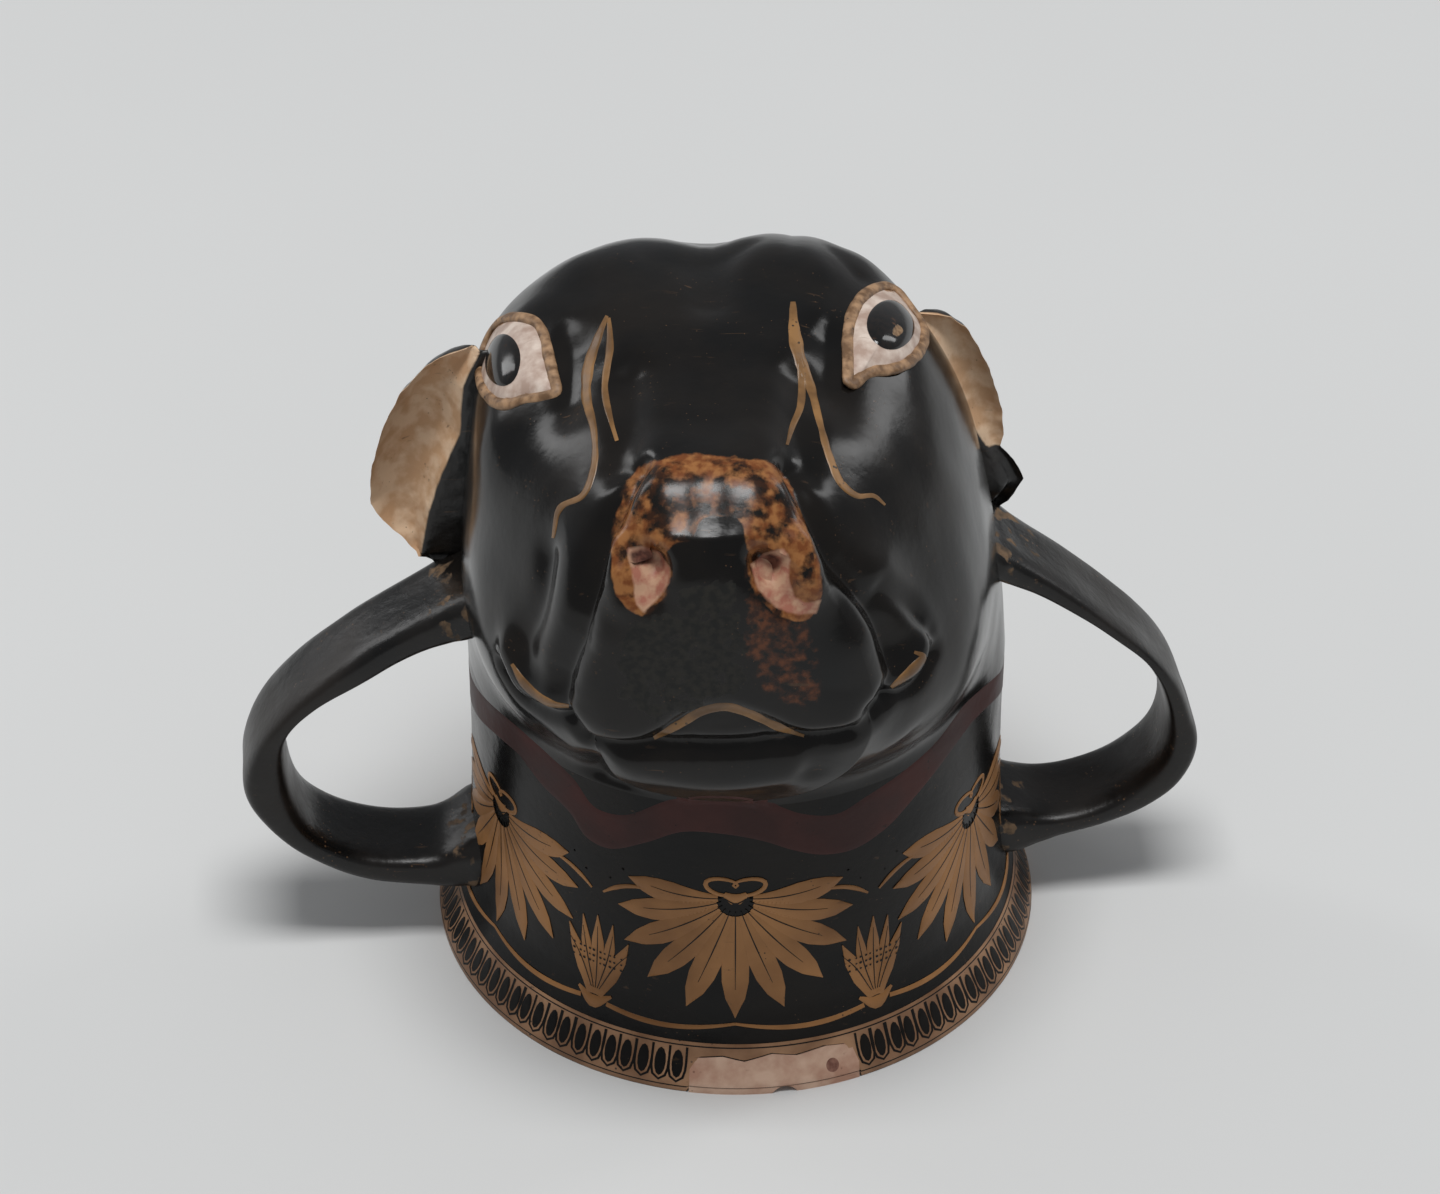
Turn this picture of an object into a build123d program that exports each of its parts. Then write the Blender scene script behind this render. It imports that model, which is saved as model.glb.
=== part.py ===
from build123d import *
import math
import os

# A two-handled drinking cup in the form of a calf's head, standing on its rim.
# Millimetres. +Z is up, the muzzle looks along -Y, and the wheel-thrown bowl
# turns about the Z axis with its rim on Z = 0.
# The potter threw the bowl, pressed the head in two mould halves that meet on
# the middle of the face, and luted on ears, eyes and strap handles by hand.

# Bowl, thrown on the wheel.
rim_radius = 70.0
neck_radius = 60.5
bowl_height = 77.0
bowl_wall = 4.6
lip_height = 20.0
lip_edge = 3.0
waist = 0.6

# Head, pressed in a mould: its sections fan out from a line in front of the throat.
throat_gap = 13.0
head_wall = 5.0
mould_joint = 0.1
muzzle_bulge = 6.2
crown_cleft = 2.2
head_lean = 3.6

# Eyes.
eyeball_radius = 7.4
eyeball_proud = 3.2
eyelid_radius = 10.2
eyelid_point = 14.5
eyelid_width = 1.9
eyelid_height = 1.8
eyelid_crown = 60.0

# Ears and handles stand turned a little against the face.
fitting_turn = 6.0

# Ears.
ear_setback = 9.0
ear_wall = 3.6
ear_left_foot = 92.0
ear_left_length = 60.0
ear_left_reach = 81.5
ear_right_foot = 99.0
ear_right_length = 54.5
ear_right_reach = 64.0

# Strap handles.
strap_width = 22.0
strap_thickness = 8.8
strap_corner = 3.2
handle_left_reach = 109.8
handle_right_reach = 103.2
handle_top = 104.0
handle_shoulder = 62.0
handle_foot = 20.0
shoulder_bend = 18.0
foot_bend = 30.0

# Old repair at the front of the rim.
fill_height = 8.6
plug_radius = 1.5
plug_angle = 18.6
chip_depth = 1.6

overrun = 6.0

# Each station of the head: bend of the section plane as a share of the full
# bend, near edge as a share of the throat gap, depth and half width as shares
# of the neck's diameter and radius, narrowing towards the crown, and squareness.
FULL_BEND = 90.0
STATION_SHARES = [
    (0.00, 1.00, 1.000, 1.000, 0.00, 2.00),
    (0.11, 1.02, 1.036, 0.995, 0.00, 2.08),
    (0.22, 1.08, 1.062, 0.978, 0.02, 2.30),
    (0.33, 1.15, 1.062, 0.950, 0.05, 2.60),
    (0.44, 1.23, 0.998, 0.906, 0.08, 2.85),
    (0.56, 1.27, 0.878, 0.845, 0.12, 2.80),
    (0.67, 1.23, 0.760, 0.765, 0.16, 2.65),
    (0.78, 1.15, 0.692, 0.670, 0.21, 2.55),
    (0.89, 1.08, 0.656, 0.570, 0.24, 2.45),
    (1.00, 1.00, 0.586, 0.480, 0.22, 2.35),
]
# The blunt end of the muzzle: how far forward, and how much narrower.
MUZZLE_SHARES = [(0.38, 0.940), (0.68, 0.830), (0.88, 0.680), (0.97, 0.500), (1.00, 0.300)]
HALF_STEPS = 14

# Where the eyes sit: share of the bend, and angle round the section from the side.
EYE_SHARES = {"left": (0.550, 35.0), "right": (0.550, 44.0)}
TEAR_BEND_SHARE = 0.10
TEAR_ROUND = -2.0
TEAR_THINNING = 1.5
# How deep in the wall the eyelids start.
LID_DEPTH_SHARE = 0.75
# The edge of each ear: shares of its length and of its reach.
EAR_EDGE_SHARES = {
    "left": [(0.0, 0.87), (0.18, 0.955), (0.40, 1.0), (0.62, 0.965), (0.82, 0.885), (1.0, 0.76)],
    "right": [(0.0, 0.94), (0.14, 1.0), (0.30, 0.93), (0.55, 0.915), (0.82, 0.85), (1.0, 0.70)],
}
EAR_ROOT_SHARE = 0.60
EAR_CUP_SHARE = 0.26
# Where the strap handle starts inside the head.
STRAP_ROOT_SHARE = 0.82
# The flare of the lip: shares of the rim's radius and of the lip's height.
LIP_SHARES = [(1.0, 0.0), (0.993, 0.12), (0.952, 0.40), (0.915, 0.70), (0.890, 1.0)]
WAIST_SHARE = 0.45
# The broken stretch of rim: shares of the rim's radius and of the fill's height.
BREAK_SHARES = [
    (-0.150, -0.30), (-0.145, 0.62), (-0.120, 0.90), (-0.040, 0.96), (0.030, 0.84),
    (0.120, 1.00), (0.200, 0.90), (0.290, 1.00), (0.370, 0.92), (0.398, 0.45), (0.402, -0.30),
]
PLUG_HEIGHT_SHARE = 0.52
CHIP_SHARE = 0.16


def between(shares, place, column):
    """A smooth value between stations, level with its neighbours."""
    last = len(shares) - 1
    first = 0
    while first < last - 1 and shares[first + 1][0] <= place:
        first += 1

    def slope(k):
        low, high = max(k - 1, 0), min(k + 1, last)
        return (shares[high][column] - shares[low][column]) / (shares[high][0] - shares[low][0])

    span = shares[first + 1][0] - shares[first][0]
    t = (place - shares[first][0]) / span
    return (
        (2 * t**3 - 3 * t**2 + 1) * shares[first][column]
        + (t**3 - 2 * t**2 + t) * span * slope(first)
        + (3 * t**2 - 2 * t**3) * shares[first + 1][column]
        + (t**3 - t**2) * span * slope(first + 1)
    )


def skin(bend_share, round_deg, inset=0.0, forward=0.0, narrow=1.0):
    """A point of the head: where it is along the bend, and round the section."""
    bend = math.radians(bend_share * FULL_BEND)
    near = between(STATION_SHARES, bend_share, 1) * throat_gap + inset
    far = throat_gap + between(STATION_SHARES, bend_share, 2) * 2 * neck_radius - inset
    half_width = (between(STATION_SHARES, bend_share, 3) * neck_radius - inset) * narrow
    taper = between(STATION_SHARES, bend_share, 4)
    power = 2 / between(STATION_SHARES, bend_share, 5)
    across, along = math.cos(math.radians(round_deg)), math.sin(math.radians(round_deg))
    side = math.copysign(abs(across) ** power, across)
    rise = math.copysign(abs(along) ** power, along)
    # The crown and brow have a shallow cleft down the middle.
    cleft = crown_cleft * math.sin(bend) * max(along, 0) ** 8 * math.exp(-((side / 0.3) ** 2))
    reach = (near + far) / 2 + (far - near) / 2 * narrow * rise - cleft
    y = -(neck_radius + throat_gap) + reach * math.cos(bend) - forward * math.sin(bend)
    z = bowl_height + reach * math.sin(bend) + forward * math.cos(bend)
    # The clay has sunk a little to the left, the more the higher it stands.
    x = half_width * side * (1 - taper * rise) - math.tan(math.radians(head_lean)) * (z - bowl_height)
    return Vector(x, y, z)


def half_curve(side, bend_share, inset=0.0, forward=0.0, narrow=1.0):
    """One half of a section, from the throat to the crown, as a curve and its two ends."""
    turns = [180 * k / HALF_STEPS - 90 for k in range(HALF_STEPS + 1)]
    if side == "left":
        turns = [180 - turn for turn in turns]
    points = [skin(bend_share, turn, inset, forward, narrow) for turn in turns]
    away = Vector(1, 0, 0) if side == "right" else Vector(-1, 0, 0)
    return Edge.make_spline(points, tangents=[away, away * -1]), points[0], points[-1]


def wall_ring(side, bend_share):
    """The cut face of one mould half: outside, crown joint, inside, throat joint."""
    outer, outer_low, outer_high = half_curve(side, bend_share)
    inner, inner_low, inner_high = half_curve(side, bend_share, head_wall)
    joints = [Edge.make_line(outer_high, inner_high), Edge.make_line(inner_low, outer_low)]
    return Wire([outer, joints[0], inner, joints[1]])


def full_ring(side, forward=0.0, narrow=1.0):
    """A whole section of one half of the muzzle's blunt front."""
    curve, low, high = half_curve(side, 1.0, 0.0, forward, narrow)
    return Wire([curve, Edge.make_line(high, low)])


def head_half(side):
    """A mould half: the lofted wall with its solid front, half a joint off the middle."""
    wall = Solid.make_loft([wall_ring(side, row[0]) for row in STATION_SHARES])
    fronts = [full_ring(side, share_f * muzzle_bulge, share_n) for share_f, share_n in MUZZLE_SHARES]
    off_middle = mould_joint / 2 if side == "right" else -mould_joint / 2
    return Pos(off_middle, 0, 0) * (wall + Solid.make_loft([full_ring(side)] + fronts))


def outermost(shape):
    """What is left outside, once a fitting is trimmed by the wall it is luted to."""
    heart = Vector(0, 0, bowl_height)
    return max(shape.solids(), key=lambda solid: (solid.center() - heart).length)


def placed(shape, side):
    """Sets a fitting, built on the right and square, on its own side and turned."""
    here = shape if side == "right" else mirror(shape, about=Plane.YZ)
    return Rot(0, 0, fitting_turn) * here


def thrown_wall():
    outside = [(rim_radius * share_r, lip_height * share_z) for share_r, share_z in LIP_SHARES]
    outside.append((neck_radius + waist, bowl_height * WAIST_SHARE))
    outside.append((neck_radius, bowl_height))
    inside = [(x - bowl_wall, z) for x, z in outside[2:]]
    # Turned from the back, so that the seam of the surface lies clear of the handles.
    with BuildSketch(Plane.YZ) as profile:
        with BuildLine():
            Spline(*outside)
            Line(outside[-1], inside[-1])
            Spline(*reversed(inside), (rim_radius - lip_edge, 0))
            Line((rim_radius - lip_edge, 0), outside[0])
        make_face()
    return revolve(profile.sketch, axis=Axis.Z)


def broken_edge():
    """The break at the front of the rim, cut straight through the wall."""
    outline = [(rim_radius * share_x, fill_height * share_z) for share_x, share_z in BREAK_SHARES]
    with BuildSketch(Plane.XZ) as sketch:
        with BuildLine():
            Polyline(*outline, close=True)
        make_face()
    return extrude(sketch.sketch, amount=rim_radius + overrun)


def plug_bore():
    """The round plug of the old repair, set square to the rim."""
    peg = Cylinder(plug_radius, 2 * bowl_wall + 2 * lip_height)
    place = Pos(0, 0, fill_height * PLUG_HEIGHT_SHARE) * Rot(0, 0, plug_angle - 90)
    return place * Rot(0, 90, 0) * Pos(0, 0, rim_radius) * peg


def chip():
    """The small notch in the edge of the fill."""
    notch = Cylinder(chip_depth * 2, 2 * lip_height, rotation=(90, 0, 0))
    return Pos(rim_radius * CHIP_SHARE, -rim_radius, -chip_depth) * notch


def strap(reach):
    """A strap handle on the right side, from inside the head down to inside the bowl."""
    root = neck_radius * STRAP_ROOT_SHARE
    corners = [(root, handle_top), (reach, handle_shoulder), (reach, handle_foot), (root, handle_foot)]
    with BuildLine(Plane.XZ) as path:
        FilletPolyline(*corners, radius=[shoulder_bend, foot_bend])
    away = Vector(reach - root, 0, handle_shoulder - handle_top)
    across = Plane(origin=(root, 0, handle_top), x_dir=(0, 1, 0), z_dir=away)
    with BuildSketch(across) as section:
        RectangleRounded(strap_width, strap_thickness, strap_corner)
    return sweep(section.sketch, path.wire())


def outward(bend_share, round_deg):
    """The direction square to the head's skin at a point."""
    step = 0.01
    along = skin(bend_share + step, round_deg) - skin(bend_share - step, round_deg)
    around = skin(bend_share, round_deg + 1) - skin(bend_share, round_deg - 1)
    normal = along.cross(around).normalized()
    here = skin(bend_share, round_deg)
    middle = Vector(0, here.Y, bowl_height)
    return normal if normal.dot(here - middle) > 0 else normal * -1


def eye_plane(side):
    """A plane on the skin at the eye: its X points to the tear corner."""
    bend_share, turn = EYE_SHARES[side]
    tear_turn = turn + TEAR_ROUND
    if side == "left":
        turn, tear_turn = 180 - turn, 180 - tear_turn
    here = skin(bend_share, turn)
    tear = skin(bend_share + TEAR_BEND_SHARE, tear_turn)
    normal = outward(bend_share, turn)
    along = (tear - here) - normal * (tear - here).dot(normal)
    return Plane(origin=here, x_dir=along, z_dir=normal)


def teardrop(radius, point):
    """A round outline drawn out to a corner along +X."""
    touch = math.degrees(math.acos(radius / point))
    a = (radius * math.cos(math.radians(touch)), radius * math.sin(math.radians(touch)))
    with BuildSketch() as sketch:
        with BuildLine():
            ThreePointArc(a, (-radius, 0), (a[0], -a[1]))
            Polyline((a[0], -a[1]), (point, 0), a)
        make_face()
    return sketch.sketch


def eyeball(side, half):
    ball = Pos(0, 0, eyeball_proud - eyeball_radius) * Sphere(eyeball_radius)
    return outermost(eye_plane(side).location * ball - half)


def eyelid(side, half, ball):
    """The rolled rim of clay round the eye, crowned like the skin it lies on."""
    outline = teardrop(eyelid_radius, eyelid_point)
    hole = teardrop(eyelid_radius - eyelid_width, eyelid_point - eyelid_width * TEAR_THINNING)
    post = Pos(0, 0, -head_wall * LID_DEPTH_SHARE) * extrude(outline - hole, amount=eyelid_radius)
    crown = Pos(0, 0, eyelid_height - eyelid_crown) * Sphere(eyelid_crown)
    return outermost(eye_plane(side).location * (post & crown) - half - ball)


def ear_ring(height, reach):
    """A level section of an ear: a curved strip, hollow to the front."""
    root = neck_radius * EAR_ROOT_SHARE
    middle, cup = (root + reach) / 2, EAR_CUP_SHARE * (reach - root)
    front, back = ear_setback, ear_setback + ear_wall
    with BuildSketch(Plane.XY.offset(height)) as section:
        with BuildLine():
            ThreePointArc((root, back), (middle, back + cup), (reach, back))
            Line((reach, back), (reach, front))
            ThreePointArc((reach, front), (middle, front + cup), (root, front))
            Line((root, front), (root, back))
        make_face()
    return section.sketch


def ear(side):
    """A cupped leaf of clay on the right, its foot on the root of the handle."""
    sizes = {
        "left": (ear_left_foot, ear_left_length, ear_left_reach),
        "right": (ear_right_foot, ear_right_length, ear_right_reach),
    }
    foot, length, reach = sizes[side]
    edge = EAR_EDGE_SHARES[side]
    return loft([ear_ring(foot + share_z * length, share_r * reach) for share_z, share_r in edge])


def main():
    os.makedirs("parts", exist_ok=True)
    thrown = thrown_wall()
    repair = thrown & broken_edge()
    peg = plug_bore()
    pieces = {
        "bowl": thrown - broken_edge(),
        "rim_fill": repair - peg - chip(),
        "rim_plug": repair & peg,
    }
    for side, reach in {"left": handle_left_reach, "right": handle_right_reach}.items():
        half = head_half(side)
        ball = eyeball(side, half)
        handle = outermost(placed(strap(reach), side) - half - thrown)
        pieces["head_" + side] = half
        pieces["eyeball_" + side] = ball
        pieces["eyelid_" + side] = eyelid(side, half, ball)
        pieces["handle_" + side] = handle
        pieces["ear_" + side] = outermost(placed(ear(side), side) - half - handle)
    for name, piece in pieces.items():
        export_step(piece, "parts/" + name + ".step")


if __name__ == "__main__":
    main()
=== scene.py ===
# %% [markdown]
# A black-glazed drinking cup in the form of a calf's head, standing on its rim.
# The potter threw the bowl, pressed the head in a mould and luted on ears, eyes
# and handles, so the surfaces are soft, uneven and nowhere perfectly round.
# Each step below first says what a piece is, and then why it is made this way.

# %% Load the frame
import math

import bmesh
import bpy
import numpy as np
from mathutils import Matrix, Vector, noise
from mathutils.bvhtree import BVHTree
from mathutils.kdtree import KDTree


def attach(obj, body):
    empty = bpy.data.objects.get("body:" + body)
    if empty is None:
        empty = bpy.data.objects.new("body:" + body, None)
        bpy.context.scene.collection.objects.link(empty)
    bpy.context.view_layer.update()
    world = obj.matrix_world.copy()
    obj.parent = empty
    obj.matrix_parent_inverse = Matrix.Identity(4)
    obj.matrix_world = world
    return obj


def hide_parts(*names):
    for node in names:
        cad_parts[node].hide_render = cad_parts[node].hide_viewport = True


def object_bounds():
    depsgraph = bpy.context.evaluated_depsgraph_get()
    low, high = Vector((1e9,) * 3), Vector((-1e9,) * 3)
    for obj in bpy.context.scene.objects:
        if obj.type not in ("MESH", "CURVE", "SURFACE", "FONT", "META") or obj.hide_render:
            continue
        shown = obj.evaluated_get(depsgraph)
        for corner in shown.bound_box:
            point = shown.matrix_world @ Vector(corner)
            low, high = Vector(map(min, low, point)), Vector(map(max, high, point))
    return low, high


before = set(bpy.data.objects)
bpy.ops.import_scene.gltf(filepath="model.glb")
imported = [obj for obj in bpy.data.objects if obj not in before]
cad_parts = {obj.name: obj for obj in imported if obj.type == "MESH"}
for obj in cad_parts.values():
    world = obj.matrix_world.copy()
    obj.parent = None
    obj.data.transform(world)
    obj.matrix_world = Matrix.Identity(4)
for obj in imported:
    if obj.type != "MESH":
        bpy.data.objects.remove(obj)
cad_low, cad_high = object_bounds()
scene = bpy.context.scene
scene.view_settings.view_transform = "Standard"
MM = 0.001
ROUND = 2 * math.pi
print("frame box in mm:", [round((high - low) / MM) for low, high in zip(cad_low, cad_high)])

# %% [markdown]
# The camera comes first, because some of the painted details are placed by where
# they show in the photograph. It stands one metre from the rim's middle and looks
# down on it by 42 degrees. Its place was found by fitting the ellipse of the rim,
# so a pixel of the photograph gives a straight line through the scene, and what
# that line meets first is where the detail lies.

# %% Camera
PHOTO_WIDTH, PHOTO_HEIGHT = 1440, 1194
RIM_PIXEL = (736.5, 884.5)
RIM_DISTANCE = 1.0
LOOK_DOWN = math.radians(42.1)
FOCAL_PIXELS = 4212.0
SENSOR_MM = 36.0


def add_object(name, data):
    """An object at the origin of the scene that holds a mesh, a lamp or a camera."""
    thing = bpy.data.objects.new(name, data)
    scene.collection.objects.link(thing)
    return thing


def stand(thing, place, target):
    """Stands a camera or a lamp at a place and turns it to a target."""
    thing.location = place
    thing.rotation_mode = "QUATERNION"
    thing.rotation_quaternion = (Vector(target) - Vector(place)).to_track_quat("-Z", "Y")


eye_point = Vector((0, -math.cos(LOOK_DOWN), math.sin(LOOK_DOWN))) * RIM_DISTANCE
screen_up = Vector((1, 0, 0)).cross(-eye_point.normalized())
aim_right = (PHOTO_WIDTH / 2 - RIM_PIXEL[0]) / FOCAL_PIXELS * RIM_DISTANCE
aim_up = (RIM_PIXEL[1] - PHOTO_HEIGHT / 2) / FOCAL_PIXELS * RIM_DISTANCE

camera = add_object("camera", bpy.data.cameras.new("camera"))
stand(camera, eye_point, Vector((aim_right, 0, 0)) + screen_up * aim_up)
camera.data.sensor_width = SENSOR_MM
camera.data.lens = FOCAL_PIXELS * SENSOR_MM / PHOTO_WIDTH
camera.data.clip_start, camera.data.clip_end = 0.05, 20
scene.camera = camera
print("lens in mm:", round(camera.data.lens, 1))

# %% [markdown]
# Most pieces here are grids of points that follow a rule: rows along a form and
# columns round it. These helpers make the grid's faces, and turn points and faces
# into a smooth piece whose faces point outwards.

# %% Mesh helpers
CORNER = math.radians(70)
DOUBLES = 1e-6


def grid_faces(rows, columns, wrap, first=0):
    """Quads between neighbouring rows and columns; wrap joins the last column to the first."""
    r, c = np.meshgrid(np.arange(rows - 1), np.arange(columns if wrap else columns - 1), indexing="ij")
    here, right = r * columns + c, r * columns + (c + 1) % columns
    quads = np.stack([here, right, right + columns, here + columns], -1)
    return (quads.reshape(-1, 4) + first).tolist()


def bare_mesh(name, points, edges=(), faces=()):
    """An object with a mesh of its own, as it comes."""
    mesh = bpy.data.meshes.new(name)
    mesh.from_pydata([tuple(p) for p in points], list(edges), list(faces))
    return add_object(name, mesh)


def make_piece(name, points, faces):
    """A smooth mesh object, its doubles merged and its faces turned outwards."""
    piece = bare_mesh(name, points, (), faces)
    work = bmesh.new()
    work.from_mesh(piece.data)
    bmesh.ops.remove_doubles(work, verts=work.verts, dist=DOUBLES)
    bmesh.ops.recalc_face_normals(work, faces=work.faces)
    work.to_mesh(piece.data)
    work.free()
    piece.data.shade_smooth()
    piece.data.set_sharp_from_angle(angle=CORNER)
    low, high = (f(piece.data.vertices, key=lambda v: v.co.z).co.z / MM for f in (min, max))
    print(f"{name}: {len(piece.data.polygons)} faces, {low:.1f} to {high:.1f} mm high")
    return piece


print("faces in a grid of 3 rows and 4 columns:", len(grid_faces(3, 4, False)))

# %% [markdown]
# Clay that is thrown, pressed or bent by hand changes its curve slowly, and no
# surface is quite even. These few rules give both: a soft step from 0 to 1, a
# smooth curve through a few known points, a power that squares a round section,
# and soft random heights that come out the same on each run.

# %% Curves and unevenness


def smooth_step(low, high, x):
    t = np.clip((np.asarray(x, dtype=float) - low) / (high - low), 0, 1)
    return t * t * (3 - 2 * t)


def mix(a, b, share):
    return a + (b - a) * share


def unit(vectors):
    return vectors / np.maximum(np.linalg.norm(vectors, axis=-1), 1e-9)[..., None]


def neighbour_slopes(xs, ys):
    """Slopes at known points, from neighbour to neighbour and one-sided at the ends."""
    steps = np.diff(ys) / np.diff(xs)
    return np.concatenate([steps[:1], (ys[2:] - ys[:-2]) / (xs[2:] - xs[:-2]), steps[-1:]])


def smooth_curve(x, xs, ys, slopes):
    """Values at x of a smooth curve through known points with known slopes."""
    k = np.clip(np.searchsorted(xs, x, side="right") - 1, 0, len(xs) - 2)
    span = xs[k + 1] - xs[k]
    t = np.clip((x - xs[k]) / span, 0, 1)
    return (
        (2 * t**3 - 3 * t**2 + 1) * ys[k] + (t**3 - 2 * t**2 + t) * span * slopes[k]
        + (3 * t**2 - 2 * t**3) * ys[k + 1] + (t**3 - t**2) * span * slopes[k + 1]
    )


def along(path, count):
    """Evenly spaced points on a smooth line through a few points."""
    path = np.asarray(path, dtype=float)
    length = np.concatenate([[0], np.cumsum(np.linalg.norm(np.diff(path, axis=0), axis=1))])
    slopes = np.gradient(path, length, axis=0)
    t = np.linspace(0, length[-1], count)
    return np.stack([smooth_curve(t, length, path[:, k], slopes[:, k]) for k in range(path.shape[1])], -1)


def squarish(values, power):
    return np.sign(values) * np.abs(values) ** power


def uneven(points, size, seed):
    """Soft random heights between -1 and 1 for a list of points, the same on each run."""
    shift = Vector((seed * 17.3, seed * 5.1, seed * 9.7))
    return np.array([noise.noise(Vector(p) / size + shift) for p in points])


print("a curve from 0 to 1, half way:", smooth_step(0, 1, 0.5))

# %% [markdown]
# The head is one form whose cross-sections fan out from a line in front of the
# throat: level where it leaves the bowl, upright at the tip of the muzzle. A
# table gives each section's depth, width, taper and squareness, and a smooth
# curve runs between its rows. It is the same rule as in the CAD model, so this
# finer head lies where the CAD head lies.

# %% The head's form
NECK_RADIUS = 0.0605
BOWL_HEIGHT = 0.077
THROAT_GAP = 0.013
HEAD_WALL = 0.005
MUZZLE_BULGE = 0.0060
INNER_BULGE = 0.0012
CROWN_CLEFT = 0.0022
LEAN = math.tan(math.radians(3.6))
HEAD_COLUMNS = 360
# Each row: place along the bend, near side, far side, half width, taper, squareness.
STATIONS = np.array([
    (0.00, 1.00, 1.000, 1.000, 0.00, 2.00),
    (0.11, 1.02, 1.036, 0.995, 0.00, 2.08),
    (0.22, 1.08, 1.062, 0.978, 0.02, 2.30),
    (0.33, 1.15, 1.062, 0.950, 0.05, 2.60),
    (0.44, 1.23, 0.998, 0.906, 0.08, 2.85),
    (0.56, 1.27, 0.878, 0.845, 0.12, 2.80),
    (0.67, 1.23, 0.760, 0.765, 0.16, 2.65),
    (0.78, 1.15, 0.692, 0.670, 0.21, 2.55),
    (0.89, 1.08, 0.656, 0.570, 0.24, 2.45),
    (1.00, 1.00, 0.586, 0.480, 0.22, 2.35),
])


def head_skin(place, turn, inset, forward=0.0, narrow=1.0):
    """One section of the head, for a place along the bend and angles round the section."""
    places, *columns = STATIONS.T
    near, far, wide, taper, square = (
        smooth_curve(place, places, column, neighbour_slopes(places, column)) for column in columns)
    bend = place * math.pi / 2
    near = near * THROAT_GAP + inset
    far = THROAT_GAP + far * 2 * NECK_RADIUS - inset
    side, rise = squarish(np.cos(turn), 2 / square), squarish(np.sin(turn), 2 / square)
    cleft = CROWN_CLEFT * np.sin(bend) * np.maximum(np.sin(turn), 0) ** 8 * np.exp(-((side / 0.3) ** 2))
    reach = (near + far) / 2 + (far - near) / 2 * narrow * rise - cleft
    y = -(NECK_RADIUS + THROAT_GAP) + reach * np.cos(bend) - forward * np.sin(bend)
    z = BOWL_HEIGHT + reach * np.sin(bend) + forward * np.cos(bend)
    x = (wide * NECK_RADIUS - inset) * narrow * side * (1 - taper * rise) - LEAN * (z - BOWL_HEIGHT)
    return np.stack([x, y, z], -1)


def head_rows(bends, inset, bulge):
    """Rows of points from the bowl to the front of the muzzle, then in to its middle."""
    turn = np.linspace(0, ROUND, HEAD_COLUMNS, endpoint=False) - math.pi / 2
    rows = [head_skin(b, turn, inset) for b in bends]
    for a in np.linspace(0, 1, max(len(bends) // 5, 6))[1:]:
        # A blunt end: the rows draw in along a squarish curve until they close.
        narrow = max(1 - a**1.6, 0.0)
        rows.append(head_skin(1.0, turn, inset, bulge * (1 - narrow**3.2), narrow))
    return np.array(rows)


print("sections of the head:", len(STATIONS))

# %% [markdown]
# Geometry Nodes suit whatever is turned, swept or repeated, and shader nodes the
# finishes. These helpers build a tree of either kind with named inputs. A
# Geometry Nodes tree ends by making its copies real and giving them a material.
# Its inputs are set by their socket identifiers before the object is first
# evaluated, and the result is kept as a plain mesh.

# %% Node helpers
SOCKET_KINDS = {"Geometry": "Geometry", "Columns": "Int", "Count": "Int", "Seed": "Int"}


def new_tree(kind, name, inputs, outputs=("Geometry",)):
    """An empty node tree with named inputs and outputs, and its first and last node."""
    tree = bpy.data.node_groups.new(name, kind)
    for way, labels in (("INPUT", inputs), ("OUTPUT", outputs)):
        for label in labels:
            socket = "NodeSocket" + SOCKET_KINDS.get(label, "Float")
            tree.interface.new_socket(label, in_out=way, socket_type=socket)
    return tree, tree.nodes.new("NodeGroupInput"), tree.nodes.new("NodeGroupOutput")


def feed(tree, node, inputs):
    """Fills a node's inputs, each with a value or from a (node, output) pair."""
    for socket, value in inputs.items():
        if isinstance(value, tuple) and isinstance(value[0], bpy.types.Node):
            tree.links.new(value[0].outputs[value[1]], node.inputs[socket])
        else:
            node.inputs[socket].default_value = value


def add_node(tree, kind, inputs, **settings):
    """A node with its settings and filled inputs."""
    node = tree.nodes.new(kind)
    for label, value in settings.items():
        setattr(node, label, value)
    feed(tree, node, inputs)
    return node


def maths(tree, operation, a, b):
    return (add_node(tree, "ShaderNodeMath", {0: a, 1: b}, operation=operation), 0)


def end_tree(tree, copies, end, material=None):
    """Makes copies real, gives them a material and leads them out of the tree."""
    real = add_node(tree, "GeometryNodeRealizeInstances", {0: (copies, 0)})
    dressed = add_node(tree, "GeometryNodeSetMaterial", {0: (real, 0), "Material": material})
    tree.links.new(dressed.outputs[0], end.inputs[0])


def grown(name, base, tree, **values):
    """The plain mesh piece that a tree makes of a base object."""
    modifier = base.modifiers.new("rule", "NODES")
    modifier.node_group = tree
    ids = {item.name: item.identifier for item in tree.interface.items_tree if item.item_type == "SOCKET"}
    for label, value in values.items():
        modifier[ids[label]] = value
    shown = base.evaluated_get(bpy.context.evaluated_depsgraph_get())
    mesh = bpy.data.meshes.new_from_object(shown)
    mesh.name = name
    base.modifiers.clear()
    bpy.data.objects.remove(base)
    print(name, "grown with", len(mesh.polygons), "faces")
    return add_object(name, mesh)


print("inputs that aren't plain numbers:", ", ".join(SOCKET_KINDS))

# %% [markdown]
# The bowl was thrown on a wheel, so its shape follows a rule: one profile turned
# about the upright axis. The profile curves out to a flared lip, and the wall
# thins to the rim. The rim is broken at the front, where an old fill closes the
# gap, so a second line says how high the break runs there.

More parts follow.
